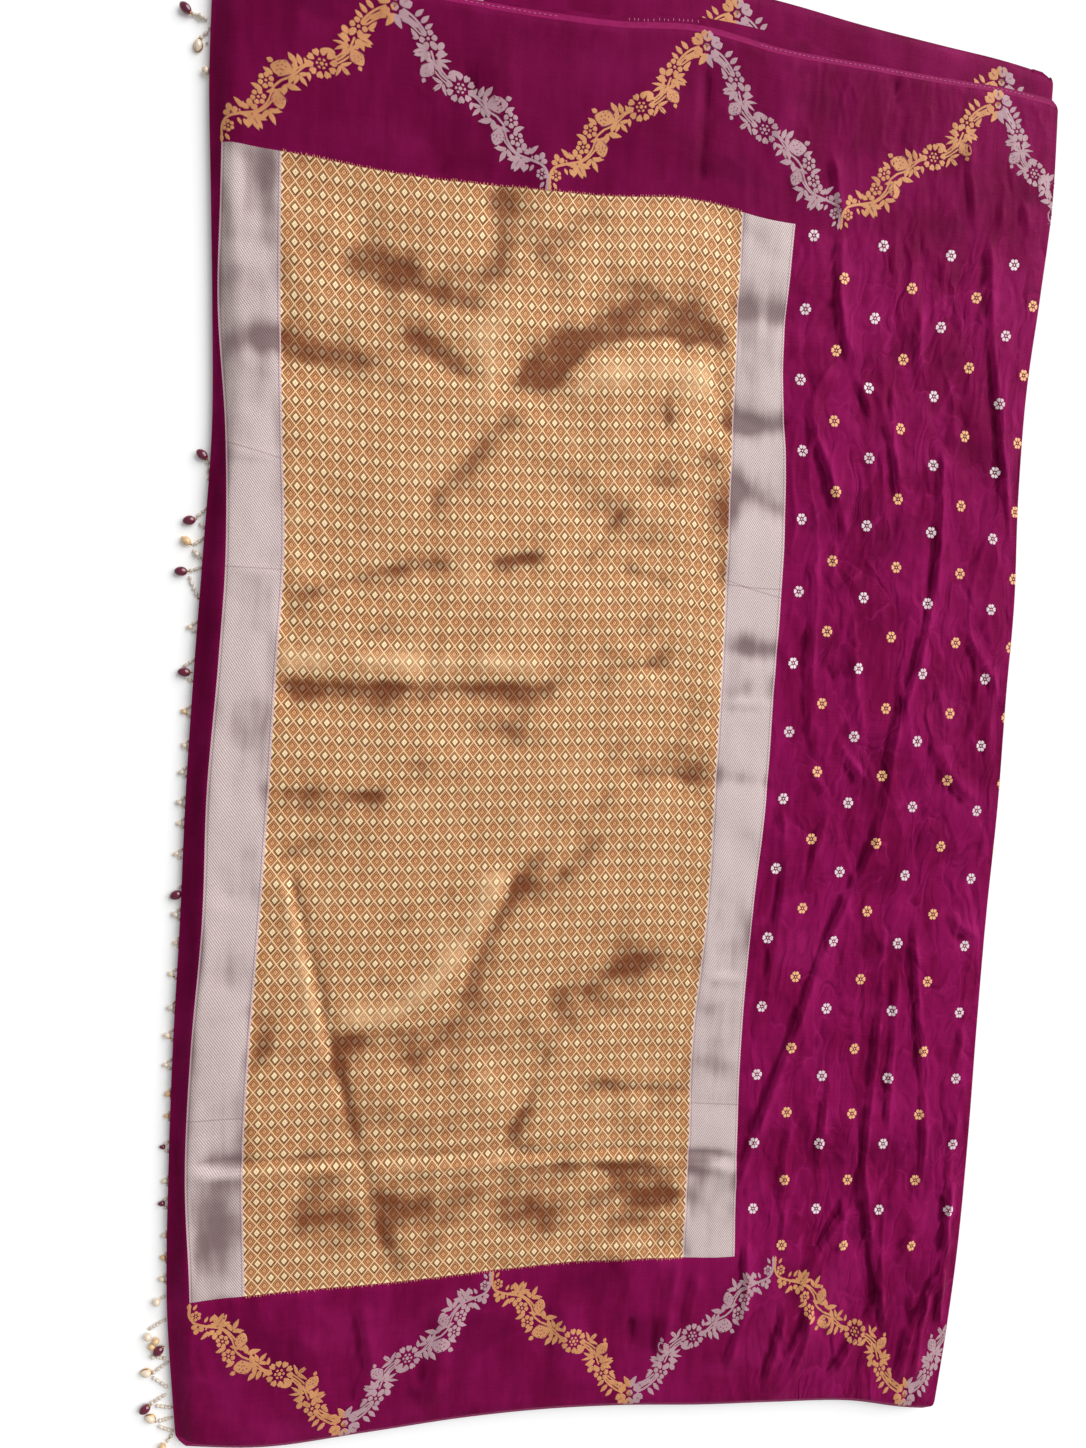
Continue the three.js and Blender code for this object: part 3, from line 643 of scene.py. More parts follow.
@functools.lru_cache(maxsize=None)
def top_surface(crease_strength, ripple_strength):
    """The outer face of the whole top layer, with its turn at the body fold."""
    across, up = np.meshgrid(line_places(ACROSS_CELLS), line_places(UP_CELLS))
    s = np.interp(across, np.arange(6), FLAT_ACROSS)
    w = np.interp(up, np.arange(6), FLAT_UP)
    plan_x, plan_y = plan_point(across, up)
    x, y = round_corner(plan_x, plan_y, edges_at(plan_x, plan_y), CORNER)
    lift = relief(x, y, s, w, crease_strength, ripple_strength)
    points = np.dstack([x, y, TOP_FACE - edge_drop(x, y) + lift])
    # Painted light and shade by height: ridges over their surroundings are painted lighter, hollows darker,
    # and the dropping loose end darker still.
    crest = (lift - soft_blur(lift, 16)) / CREST_DEPTH
    loose_end_shade = 1 - smooth((x - edges_at(x, y)["left"]) / RELIEF_FADE["left"])
    crest = np.clip(crest - 0.25 * loose_end_shade, -1, 1)
    # Painted light and shade by slope: slopes facing the way of the painted light are painted lighter, those
    # facing away darker.
    slope_x = np.gradient(lift, axis=1) / np.gradient(x, axis=1)
    slope_y = np.gradient(lift, axis=0) / np.gradient(y, axis=0)
    tilt = soft_blur(-(PAINTED_LIGHT_WAY[0] * slope_x + PAINTED_LIGHT_WAY[1] * slope_y), 2) / STEEP
    shares = zone_shares(s, w)
    panel = np.clip(shares["brocade"] + shares["bands"], 0, 1)
    # On the pallu the painted shade comes mostly from the depth of its folds, each narrowed, and less from
    # the slope.
    painted_fold_shade = sum(crease_lift(x, y, narrowed(crease, FOLD_SHARE)) for crease in BROCADE_CREASES)
    tilt = np.clip(tilt * (1 - 0.7 * panel) + soft_blur(painted_fold_shade, 4) / FOLD_DEPTH * panel, -1, 1)

    # The body fold: a half turn, then a short run back under the layer.
    edge = points[:, -1]
    turns = np.arange(1, NOSE_CELLS + 1) * math.pi / NOSE_CELLS
    nose = np.stack([
        np.column_stack([
            edge[:, 0] + NOSE * math.sin(turn),
            edge[:, 1],
            edge[:, 2] - NOSE + NOSE * math.cos(turn),
        ])
        for turn in turns
    ], axis=1)
    last_x = np.full(len(edge), float(RETURN_LINE))
    last_y = level_at(up[:, -1], last_x)
    last = np.column_stack([last_x, last_y, SECOND_FACE - CLOTH - edge_drop(last_x, last_y)])
    shares = (np.arange(1, RETURN_CELLS + 1) / RETURN_CELLS)[None, :, None]
    run = nose[:, -1:] * (1 - shares) + last[:, None] * shares
    points = np.concatenate([points, nose, run], axis=1)
    more = ((0, 0), (0, NOSE_CELLS + RETURN_CELLS))
    run_length = float(np.mean(edge[:, 0])) - RETURN_LINE
    s_line = np.concatenate([
        s[0],
        FLAT_ACROSS[-1] + NOSE * turns,
        FLAT_ACROSS[-1] + NOSE * math.pi + run_length * shares[0, :, 0],
    ])
    return Surface(points, s_line, w[:, 0], np.pad(crest, more), np.pad(tilt, more))


# ---- The layers beneath --------------------------------------------------------------------
# How far the folds and selvedges of each hidden layer stand in, from the highest down.
HiddenLayer = namedtuple("HiddenLayer", "fold_end loose_end cut")
HIDDEN = [HiddenLayer(*row) for row in (
    (1.8, 0.6, 4.6),
    (2.3, 2.2, 5.2),
    (1.6, 1.6, 3.8),
    (0.2, 4.2, 4.9),
    (0.9, 4.8, 2.2),
)]
UNDER_WALL = 0.9
HIDDEN_PITCH = (HIDDEN_TOP - UNDER_WALL) / (HIDDEN_COUNT - 1)
HIDDEN_CORNER = 16
START_INSET = 22            # a layer starts this far past the fold that the one above turns at


def stacked_surface(columns, rows, sides, corner=CORNER):
    """A surface through columns that each have a share across, an offset and a height.

    sides gives, for each row's y, the left and right ends, and for each x the lower and upper."""
    share, offset, height = np.array(columns).T
    share, up = np.meshgrid(share, rows)
    x = np.zeros_like(share)
    y = np.zeros_like(share)
    for _ in range(5):
        x = sides["left"](y) * (1 - share) + sides["right"](y) * share
        y = sides["bottom"](x) * (1 - up) + sides["top"](x) * up
    edges = {
        "left": sides["left"](y),
        "right": sides["right"](y),
        "bottom": sides["bottom"](x),
        "top": sides["top"](x),
    }
    x, y = round_corner(x, y, edges, corner)
    return x + offset[None, :], y, np.broadcast_to(height, x.shape).copy()


def lengths_along(points, axis):
    """Length run along the middle row or column of a grid, from its start."""
    middle = points.shape[1 - axis] // 2
    line = points[middle] if axis == 1 else points[:, middle]
    steps = np.linalg.norm(np.diff(line, axis=0), axis=1)
    return np.concatenate([[0], np.cumsum(steps)])


def inner_left(y):
    return uprights.read("end", y) + END_TUCK


def inner_bottom(x):
    return levels.read("lower", x) + EDGE_TUCK


UNDER_ROWS = np.concatenate([np.linspace(0, 0.9, 46)[:-1], np.linspace(0.9, 1, 34)])
UNDER_COLUMNS = 150
UNDER_TURN = 6
TURN_RADIUS = PITCH / 2 + UNDER_WALL / 2
TURNED_SHARES = (0.015, 0.03)       # where a layer turned under has its next columns
THIRD_INSET = 4             # how far inside the top layer's fold the third layer's fold lies
HIDDEN_INSET = 3            # and those of the hidden layers, at the least
HIDDEN_COLUMNS = 30


def turn_columns(share, radius, height, side):
    """A half turn at one end of a layer, from its face down. side: 1 at the right, -1 at the left."""
    turns = np.arange(1, UNDER_TURN + 1) * math.pi / UNDER_TURN
    return [
        (share, side * radius * math.sin(turn), height - radius + radius * math.cos(turn))
        for turn in turns
    ]


def under_surface(height, sides, side, waves):
    """One of the two layers that show past the top one's upper edge, turned under at one end."""
    low = height - 2 * TURN_RADIUS
    columns = [(share, 0.0, height) for share in np.linspace(0, 1, UNDER_COLUMNS)]
    if side > 0:
        columns += turn_columns(1.0, TURN_RADIUS, height, 1)
        columns += [(1 - share, 0.0, low) for share in TURNED_SHARES]
    else:
        turned = turn_columns(0.0, TURN_RADIUS, height, -1)
        turned += [(share, 0.0, low) for share in TURNED_SHARES]
        columns = turned[::-1] + columns
    x, y, z = stacked_surface(columns, UNDER_ROWS, sides)
    from_top = sides["top"](x) - y
    flat_part = z > height - 0.01
    lift = waves(x, y) * smooth(from_top / 6)
    z = np.where(flat_part, z + lift, z)
    if side > 0:
        z = z - UPPER_EDGE_DROP * (1 - smooth(from_top / UPPER_EDGE_RUN)) * flat_part
    points = np.dstack([x, y, z])
    top = float(np.max(lengths_along(points, 0)))
    return Surface(points, lengths_along(points, 1), lengths_along(points, 0) - top)


def second_waves(x, y):
    shown = smooth((y - levels.read("upper", x) + 24) / 16)
    return 0.35 * shown * smooth(lattice_noise(x / 22, y / 70, 71) + 0.5)


def third_waves(x, y):
    shown = smooth((y - levels.read("second", x) - 1) / 9)
    wrinkle = (1 - np.abs(lattice_noise(x / 17, y / 80, 73))) ** 3
    return shown * (0.5 * smooth(lattice_noise(x / 30, y / 90, 72) + 0.5) + 0.5 * wrinkle)


@functools.lru_cache(maxsize=None)
def second_surface():
    sides = {
        "left": inner_left,
        "right": lambda y: np.full_like(y, SECOND_RIGHT),
        "bottom": inner_bottom,
        "top": lambda x: levels.read("second", x),
    }
    return under_surface(SECOND_FACE, sides, -1, second_waves)


@functools.lru_cache(maxsize=None)
def third_surface():
    sides = {
        "left": lambda y: inner_left(y) + START_INSET,
        "right": lambda y: uprights.read("fold", y) - THIRD_INSET - TURN_RADIUS,
        "bottom": inner_bottom,
        "top": lambda x: levels.read("third", x),
    }
    return under_surface(THIRD_FACE, sides, 1, third_waves)


def hidden_surface():
    """The middle of the cloth of the five lowest layers, one long sheet folded to and fro."""
    radius = HIDDEN_PITCH / 2
    parts = []
    rows = np.concatenate([
        np.linspace(0, 0.04, 9)[:-1],
        np.linspace(0.04, 0.96, 40),
        np.linspace(0.96, 1, 9)[1:],
    ])
    for k, layer in enumerate(HIDDEN):
        height = HIDDEN_TOP - UNDER_WALL / 2 - HIDDEN_PITCH * k
        toward = -1 if k % 2 == 0 else 1
        shares = np.linspace(0.04 if k == 0 else 0, 1, HIDDEN_COLUMNS)
        start_share = 1 - shares if toward < 0 else shares
        columns = [(share, 0.0, height) for share in start_share]
        if k < HIDDEN_COUNT - 1:
            end_share = 0.0 if toward < 0 else 1.0
            columns += turn_columns(end_share, radius, height, toward)[:-1]
        below = HIDDEN[min(k + 1, HIDDEN_COUNT - 1)]
        loose_end = min(layer.loose_end, below.loose_end) if toward < 0 else layer.loose_end
        fold_end = min(layer.fold_end, below.fold_end) if toward > 0 else layer.fold_end
        sides = {
            "left": lambda y, inset=loose_end: inner_left(y) + inset + radius,
            "right": lambda y, inset=fold_end + HIDDEN_INSET: uprights.read("fold", y) - inset - radius,
            "bottom": lambda x, inset=layer.cut: inner_bottom(x) + inset,
            "top": lambda x, inset=layer.cut: levels.read("third", x) - UPPER_EDGE_RUN - inset,
        }
        x, y, z = stacked_surface(columns, rows, sides, HIDDEN_CORNER)
        parts.append((x, y + 0.5 * lattice_noise(x / 35, y / 300 + k, 80 + k), z))
    points = np.dstack([np.hstack(part) for part in zip(*parts)])
    return Surface(points, lengths_along(points, 1), lengths_along(points, 0))


# ---- Making meshes -------------------------------------------------------------------------
def to_metres(points):
    """Plan millimetres in the metres of the frame."""
    return (points + SHIFT) * MM


def mesh_from(bm, name):
    """The mesh of a finished bmesh, with its faces turned outwards."""
    bmesh.ops.recalc_face_normals(bm, faces=bm.faces[:])
    mesh = bpy.data.meshes.new(name)
    bm.to_mesh(mesh)
    bm.free()
    return mesh


def read_all(items, field, size=1, kind=np.float32):
    """One field of every item of a mesh, such as the normals of its faces."""
    values = np.empty(len(items) * size, kind)
    items.foreach_get(field, values)
    return values


def mesh_points(mesh):
    return read_all(mesh.vertices, "co", 3).reshape(-1, 3)


def place_points(mesh, points):
    mesh.vertices.foreach_set("co", points.astype(np.float32).ravel())


def add_slab(bm, across, up):
    """A closed grid from -1 to 1 both ways, and from z = 0 to z = 1."""
    bmesh.ops.create_grid(bm, x_segments=across, y_segments=up, size=1.0)
    walls = bmesh.ops.extrude_face_region(bm, geom=bm.faces[:])
    lifted = [item for item in walls["geom"] if isinstance(item, bmesh.types.BMVert)]
    bmesh.ops.translate(bm, verts=lifted, vec=(0, 0, 1))


def finished_piece(name, mesh, material, replaced=()):
    """Puts a mesh in the scene as a piece that rides on the saree's one body."""
    mesh.materials.append(material)
    piece = bpy.data.objects.new(name, mesh)
    bpy.context.scene.collection.objects.link(piece)
    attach(piece, BODY)
    if replaced:
        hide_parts(*replaced)


def cloth_mesh(name, surface, rows, columns, above, below):
    """A thin closed shell on a part of a surface: above and below are its two faces' offsets."""
    points = surface.points[rows, columns]
    normals = surface.normals[rows, columns]
    row_count, column_count = points.shape[:2]
    bm = bmesh.new()
    add_slab(bm, column_count - 1, row_count - 1)
    mesh = mesh_from(bm, name)

    plain = mesh_points(mesh)
    column = np.rint((plain[:, 0] + 1) / 2 * (column_count - 1)).astype(int)
    row = np.rint((plain[:, 1] + 1) / 2 * (row_count - 1)).astype(int)
    upper = plain[:, 2] > 0.5
    offset = np.where(upper, above, below)[:, None]
    places = points[row, column] + normals[row, column] * offset
    place_points(mesh, to_metres(places))

    corner = read_all(mesh.loops, "vertex_index", kind=np.int32)
    flat = np.column_stack([surface.s[columns][column], surface.w[rows][row]]) * MM
    mesh.uv_layers.new(name="flat").data.foreach_set("uv", flat[corner].astype(np.float32).ravel())
    # Each point takes its painted light and shade, which the finishes read.
    for field, values in (("crest", surface.crest), ("tilt", surface.tilt)):
        layer = mesh.attributes.new(field, "FLOAT", "POINT")
        layer.data.foreach_set("value", values[rows, columns][row, column].astype(np.float32))

    # Both faces take the whole cloth's normals, so that no line shows where stretches meet.
    mesh.shade_smooth()
    mesh.update()
    sizes = read_all(mesh.polygons, "loop_total", kind=np.int32)
    face_of = np.repeat(np.arange(len(sizes)), sizes)
    face_normals = read_all(mesh.polygons, "normal", 3).reshape(-1, 3)
    raised = np.bincount(face_of, upper[corner], len(sizes))
    on_top = (raised == sizes)[face_of]
    under = (raised == 0)[face_of]
    own = normals[row, column][corner]
    split = np.where(on_top[:, None], own, np.where(under[:, None], -own, face_normals[face_of]))
    mesh.normals_split_custom_set(split.tolist())
    return mesh


class Joined:
    """Many small closed bodies gathered into one mesh, each a blank given its own shape."""

    def __init__(self):
        self.bm = bmesh.new()

    def add(self, blank, places):
        place_points(blank.mesh, places)
        self.bm.from_mesh(blank.mesh)

    def mesh(self, name, final_places=None):
        """The gathered mesh. final_places moves all its points at once, such as by draping."""
        mesh = mesh_from(self.bm, name)
        if final_places is not None:
            place_points(mesh, final_places(mesh_points(mesh).astype(float)))
        mesh.shade_smooth()
        mesh.update()
        return mesh


class Blank:
    """A small closed mesh that is copied many times, with its points at rest."""

    def __init__(self, name, bm):
        self.mesh = mesh_from(bm, name)
        self.points = mesh_points(self.mesh).astype(float)


@functools.lru_cache(maxsize=None)
def petal_blank():
    """A low round cushion of radius 1, from z = 0 up to z = 1."""
    bm = bmesh.new()
    bmesh.ops.create_cone(bm, cap_ends=True, cap_tris=True, segments=12, radius1=1.0, radius2=0.86,
                          depth=1.0, matrix=Matrix.Translation((0, 0, 0.5)))
    return Blank("petal_blank", bm)


@functools.lru_cache(maxsize=None)
def ribbon_blank():
    """A flat closed tape from x = 0 to 1, y = -1 to 1, z = 0 to 1."""
    bm = bmesh.new()
    add_slab(bm, 10, 1)
    bmesh.ops.translate(bm, verts=bm.verts[:], vec=(1, 0, 0))
    bmesh.ops.scale(bm, verts=bm.verts[:], vec=(0.5, 1, 1))
    return Blank("ribbon_blank", bm)


@functools.lru_cache(maxsize=None)
def bead_blank(around, down):
    """A ball of radius 1."""
    bm = bmesh.new()
    bmesh.ops.create_uvsphere(bm, u_segments=around, v_segments=down, radius=1.0)
    return Blank(f"bead_blank_{around}", bm)


def tape_places(line, half_width):
    """The ribbon blank's points, laid along a line, and each one's share of the tape's height."""
    along, aside, up = ribbon_blank().points.T
    runs = run_lengths(line)
    place = along * runs[-1]
    slope = np.gradient(line, axis=0)
    slope = slope / np.linalg.norm(slope, axis=1, keepdims=True)
    x = np.interp(place, runs, line[:, 0]) - aside * half_width * np.interp(place, runs, slope[:, 1])
    y = np.interp(place, runs, line[:, 1]) + aside * half_width * np.interp(place, runs, slope[:, 0])
    return x, y, up


def turned_places(x, y, turn, ahead, aside, mirror=(1, 1)):
    """Places ahead of and aside from a point, turned by degrees, and mirrored if wanted."""
    angle = math.radians(turn)
    out_x = ahead * math.cos(angle) - aside * math.sin(angle)
    out_y = ahead * math.sin(angle) + aside * math.cos(angle)
    return x + mirror[0] * out_x, y + mirror[1] * out_y


# ---- Motifs --------------------------------------------------------------------------------
THREAD_LIFT = 0.2           # how proud a motif's threads stand
THREAD_CROWN = 0.06         # and how much more at the middle of a petal
THREAD_SINK = -0.25         # where the underside of a motif lies, in the cloth
VEIN_LIFT = 0.3             # the plum threads that part and speckle the larger motifs

# Outline of a petal: base is the share of its width left at its start, tip the share taken off at
# its tip, notch dents the tip and bend curves the whole.
Outline = namedtuple("Outline", "base tip notch bend")
ROUND = Outline(0.45, 0.0, 0.0, 0.0)
HEART = Outline(0.35, 0.0, 0.2, 0.0)
LEAF = Outline(0.7, 0.85, 0.0, 0.0)
LEFT_LEAF = Outline(0.7, 0.85, 0.0, 0.22)
RIGHT_LEAF = Outline(0.7, 0.85, 0.0, -0.22)
LEFT_FINGER = Outline(0.9, 0.55, 0.0, 0.34)
RIGHT_FINGER = Outline(0.9, 0.55, 0.0, -0.34)
BELLY = Outline(0.85, 0.45, 0.0, 0.1)
SPLIT = Outline(0.5, 0.25, 0.28, 0.0)

# Sprays: the petals of each small motif. turn is in degrees; start, reach and width are shares of
# the spray's size. Veins are laid over them in plum.
Petal = namedtuple("Petal", "turn start reach width outline")


def petals(*rows):
    return [Petal(*row) for row in rows]


def petal_pair(turn, *sizes, left=LEFT_LEAF, right=RIGHT_LEAF):
    """Two petals, one turned each way."""
    return petals((-turn, *sizes, right), (turn, *sizes, left))


def petal_ring(count, first, *sizes):
    """Petals at even turns all round."""
    return petals(*((first + 360 / count * k, *sizes) for k in range(count)))


SPRAYS = {
    "leaf": petals((0, 0, 1, 0.56, LEAF)),
    "hook": petals((0, 0, 1, 0.5, LEFT_FINGER), (-30, 0.1, 0.5, 0.3, LEAF)),
    "trefoil": petal_pair(62, 0.06, 0.68, 0.58, left=ROUND, right=ROUND)
               + petals((0, 0.14, 0.82, 0.6, ROUND)),
    "three_leaves": petal_pair(48, 0, 0.92, 0.44) + petals((0, 0.1, 1.0, 0.46, LEAF)),
    "maple": petal_pair(96, 0, 0.5, 0.36, left=LEAF, right=LEAF) + petals((0, 0, 1.0, 0.56, SPLIT))
             + petal_pair(46, 0, 0.85, 0.46, left=LEAF, right=LEAF),
    "bud": petals((0, 0.1, 0.9, 0.74, LEAF)) + petal_pair(74, 0, 0.45, 0.34),
    "pair": petal_pair(36, 0, 0.95, 0.5),
    "drops": petals((-36, 0, 0.95, 0.36, RIGHT_LEAF), (0, 0.05, 1.05, 0.38, LEAF),
                    (36, 0, 0.8, 0.36, LEFT_LEAF)),
    "fleur": petal_pair(46, 0, 0.9, 0.36, left=LEFT_FINGER, right=RIGHT_FINGER)
             + petals((0, 0.05, 1.0, 0.4, SPLIT)),
    "feather": petals((-14, 0, 1.0, 0.3, LEFT_LEAF), (22, 0, 0.95, 0.32, LEFT_LEAF),
                      (60, 0, 0.8, 0.32, LEFT_LEAF), (-52, 0, 0.7, 0.3, RIGHT_LEAF)),
    "fruit": petals((0, 0, 1.0, 0.86, BELLY), (-66, -0.04, 0.62, 0.34, RIGHT_LEAF),
                    (72, -0.04, 0.6, 0.34, LEFT_LEAF), (-6, 0.9, 0.3, 0.3, LEAF)),
    "blossom": petal_ring(6, 15, 0.17, 0.4, 0.42, ROUND) + petals((0, -0.12, 0.24, 0.24, ROUND)),
    "daisy": petal_ring(10, 12, 0.25, 0.3, 0.26, HEART) + petal_ring(6, 0, 0.1, 0.1, 0.12, ROUND)
             + petals((0, -0.08, 0.16, 0.16, ROUND)),
    "peak_flower": petals((148, 0.26, 0.78, 0.86, SPLIT), (92, 0.26, 0.78, 0.8, SPLIT),
                          (212, 0.26, 0.6, 0.6, SPLIT), (262, 0.3, 0.8, 0.46, RIGHT_FINGER))
                   + petals(*((turn, 0.02, 0.2, 0.24, ROUND) for turn in (120, 60, 180, 240))),
}
# Turn and start of each seed of the fruit.
FRUIT_SEEDS = ((-12, 0.34), (12, 0.41), (-30, 0.5), (-10, 0.5), (10, 0.5), (30, 0.5),
               (-16, 0.64), (0, 0.64), (16, 0.64))
VEINS = {
    "maple": petals((0, 0.15, 0.5, 0.06, LEAF)),
    "bud": petals((0, 0.3, 0.5, 0.08, LEAF)),
    "fleur": petals((0, 0.25, 0.5, 0.06, LEAF)),
    "fruit": petals(*((turn, start, 0.07, 0.07, ROUND) for turn, start in FRUIT_SEEDS))
             + petals((52, 0.1, 0.7, 0.07, RIGHT_FINGER), (-52, 0.1, 0.6, 0.06, LEFT_FINGER)),
    "peak_flower": petals((148, 0.5, 0.3, 0.05, LEAF), (92, 0.5, 0.3, 0.05, LEAF)),
}

# One run of the garland, from its inner tip at (0, 0) up to the middle of its peak flower: each
# row places a spray, with s and w from the tip, and the way that it points in degrees.
GARLAND_RUN = 121
Placed = namedtuple("Placed", "spray s w turn size")
GARLAND = [Placed(*row) for row in (
    ("leaf", 0.5, 5, -84, 7),
    ("leaf", 3.5, 5, -56, 6),
    ("blossom", 5.5, 10.5, 20, 8),
    ("trefoil", 7.5, 19.5, 112, 8),
    ("leaf", 12, 17, -60, 6),
    ("leaf", 16, 17, -56, 7.5),
    ("hook", 15, 24, 112, 9),
    ("trefoil", 20.5, 24.5, 96, 8),
    ("maple", 22, 21, -58, 13),
    ("blossom", 26, 34, 0, 10),
    ("three_leaves", 33, 26.5, -62, 11),
    ("leaf", 29, 39, 152, 9),
    ("fruit", 39, 41, -82, 14),
    ("blossom", 31, 46.5, 10, 10.5),
    ("leaf", 27, 41, 164, 7),
    ("leaf", 36, 51, 146, 9),
    ("pair", 45, 46, -62, 12),
    ("fruit", 51, 54.5, 164, 17.5),
    ("leaf", 52, 61, 128, 10),
    ("leaf", 56, 60, 112, 9.5),
    ("leaf", 61, 61, 122, 7),
    ("three_leaves", 53.5, 54, -48, 9.5),
    ("leaf", 61, 57, -82, 7),
    ("daisy", 70, 65, 0, 21),
    ("leaf", 80, 74, 168, 10),
    ("leaf", 81, 70.5, 148, 8),
    ("fleur", 83, 67, -42, 10),
    ("fruit", 91, 80, -58, 14),
    ("feather", 88, 81, 172, 11),
    ("leaf", 90, 85, 164, 10),
    ("trefoil", 89, 88, 126, 9),
    ("maple", 96, 87.5, -18, 11.5),
    ("blossom", 95.5, 96, 30, 12),
    ("hook", 102, 95, 28, 9),
    ("leaf", 98.5, 102, 140, 8),
    ("leaf", 101.5, 106, 134, 9),
    ("leaf", 106, 110, 136, 9),
    ("leaf", 102, 103, 20, 9),
    ("leaf", 107, 106.5, -6, 9),
    ("leaf", 112, 110, -24, 9),
    ("peak_flower", 121, 114, 0, 14),
)]
# Stems of the run: a path and a width each.
Stem = namedtuple("Stem", "width path")
STEMS = [Stem(*row) for row in (
    (2.0, [(1, 4), (0.8, 10), (4, 16), (10, 19), (21, 22)]),
    (1.6, [(21, 22), (28, 26), (34, 34), (36, 42), (42, 48)]),
    (1.3, [(23, 21.5), (30, 26), (36.5, 34), (38, 40)]),
    (1.5, [(42, 48), (50, 52), (58, 60), (64, 62)]),
    (1.3, [(52, 57), (58, 61.5), (64, 64.5)]),
    (1.5, [(78, 68), (84, 72), (89, 78), (93, 88)]),
    (1.3, [(79, 66), (85, 70), (91, 76), (95, 86)]),
    (1.3, [(80, 71), (85, 76), (89, 82)]),
    (1.7, [(98, 100), (102, 105), (108, 110), (115, 113.5)]),
    (1.5, [(99.5, 99), (104, 104), (110, 108), (116, 111)]),
    (1.3, [(101, 98), (106, 102), (112, 105.5), (117, 109)]),
    (1.2, [(13, 23), (15, 19.5), (19, 20.5)]),
    (1.1, [(116, 108), (119, 105), (122, 106.5), (120.5, 108.5)]),
)]

# Where the tips and peaks of the garland stand along the flat cloth, tip first.
UPPER_TURNS = (13, 134, 255, 377, 500, 633, 722)
LOWER_TURNS = (13, 136, 250, 373, 501, 654, 760)
UPPER_TIP = 1005
LOWER_TIP = 126
UPPER_SCALE = 1.04
LOWER_SCALE = 0.98
THIRD_PEAKS = (-112, 130, 367)      # plan x of the peaks that show on the third layer
THIRD_TIP = -134
THIRD_SHOWN = 62                    # the third layer's garland is made this far from its selvedge
THIRD_LEVEL = 580                   # plan y of the strip of the third layer that shows
END_MARGIN = 6                      # no spray stands nearer than this to the ends of the cloth
FOLD_MARGIN = 12                    # nor nearer than this to the fold of the third layer

# Pale stitches show from one plan x to another, on the upper selvedge and on the second layer.
UPPER_STITCHES = ((-90, -15), (150, 395))
SECOND_STITCHES = (42, 100)

# Small flowers: six heart petals in pairs, up, at the sides and down, round a little diamond.
FLOWER_SIZE = 10.2
FLOWER_PETALS = petals(
    (64, 0.13, 0.4, 0.33, HEART), (116, 0.13, 0.4, 0.33, HEART), (0, 0.13, 0.38, 0.44, HEART),
    (180, 0.13, 0.38, 0.44, HEART), (-64, 0.13, 0.4, 0.33, HEART), (-116, 0.13, 0.4, 0.33, HEART),
)
SILVER_YS = (409, 350, 293, 236, 180, 120, 60, 2, -55, -115, -175, -235, -295, -355, -415)
GOLD_YS = (378, 320, 263, 205, 148, 89, 28, -30, -88, -148, -208, -270, -328, -388, -448)
SILVER_COLUMNS = (478, 540, 602, 665)
GOLD_COLUMNS = (508, 570, 633, 689)


def flower_shift(s, y):
    """How far a small flower stands out along the cloth and below its place in the rows.

    The rows sink towards the fold, the lower ones most. The columns by the fold lean out."""
    down = (SILVER_YS[0] - y) / (SILVER_YS[0] - SILVER_YS[-1])
    along = (s - SILVER_COLUMNS[0]) / (SILVER_COLUMNS[-1] - SILVER_COLUMNS[0])
    fall = 3.5 - 4.5 * down + along * (0.5 + 12 * down)
    by_fold = np.clip((s - 590) / 75, 0, 1.8)
    return (14 * down - 4.5) * by_fold, fall


class Embroidery(Joined):
    """Low closed patches of thread, laid out on the flat cloth and then draped over it."""

    def __init__(self, lift=THREAD_LIFT):
        super().__init__()
        self.lift = lift

    def petal(self, s, w, turn, start, reach, width, outline, mirror=(1, 1)):
        blank = petal_blank()
        x, y, z = blank.points.T
        along = (x + 1) / 2
        half = y * (outline.base + (1 - outline.base) * np.minimum(1, along * 2.2))
        half = half * (1 - outline.tip * along ** 2.4)
        dent = np.maximum(0, 1 - np.abs(y) * 2) * along ** 4
        ahead = start + along * (1 - outline.notch * dent) * reach
        aside = half * width / 2 + outline.bend * reach * along ** 2
        crown = THREAD_CROWN * (1 - np.minimum(1, x * x + y * y))
        height = np.where(z > 0.5, self.lift + crown, THREAD_SINK)
        places = turned_places(s, w, turn, ahead, aside, mirror)
        self.add(blank, np.column_stack([*places, height]))

    def spray(self, petals, s, w, turn, size, mirror=(1, 1)):
        for petal in petals:
            self.petal(s, w, turn + petal.turn, petal.start * size, petal.reach * size,
                       petal.width * size, petal.outline, mirror)

    def ribbon(self, path, width):
        s, w, up = tape_places(curve_points(path, step=0.6), width / 2)
        height = np.where(up > 0.5, self.lift - 0.02, THREAD_SINK)
        self.add(ribbon_blank(), np.column_stack([s, w, height]))

    def piece(self, name, surface, material, slot):
        mesh = self.mesh(name, lambda flat: to_metres(surface.drape(flat)))
        mesh.shade_flat()
        finished_piece(name, mesh, material)


def garland_run(work, veins, tip, peak, tip_w, scale, rising, keep):
    """One run of the garland, from an inner tip to the peak flower beside it.

    tip and peak are places along the flat cloth. rising is 1 where the peak lies towards the
    upper selvedge and -1 towards the lower one. keep says which sprays and stems are made."""
    stretch = (peak - tip) / GARLAND_RUN
    side = 1 if stretch > 0 else -1

    def place(s, w):
        return tip + s * stretch, tip_w + rising * w * scale

    for item in GARLAND:
        s, w = place(item.s, item.w)
        if keep(s, w):
            size = item.size * scale
            work.spray(SPRAYS[item.spray], s, w, item.turn, size, (side, rising))
            veins.spray(VEINS.get(item.spray, ()), s, w, item.turn, size, (side, rising))
    for stem in STEMS:
        path = [place(s, w) for s, w in stem.path]
        if all(keep(s, w) for s, w in path):
            work.ribbon(path, stem.width * scale)


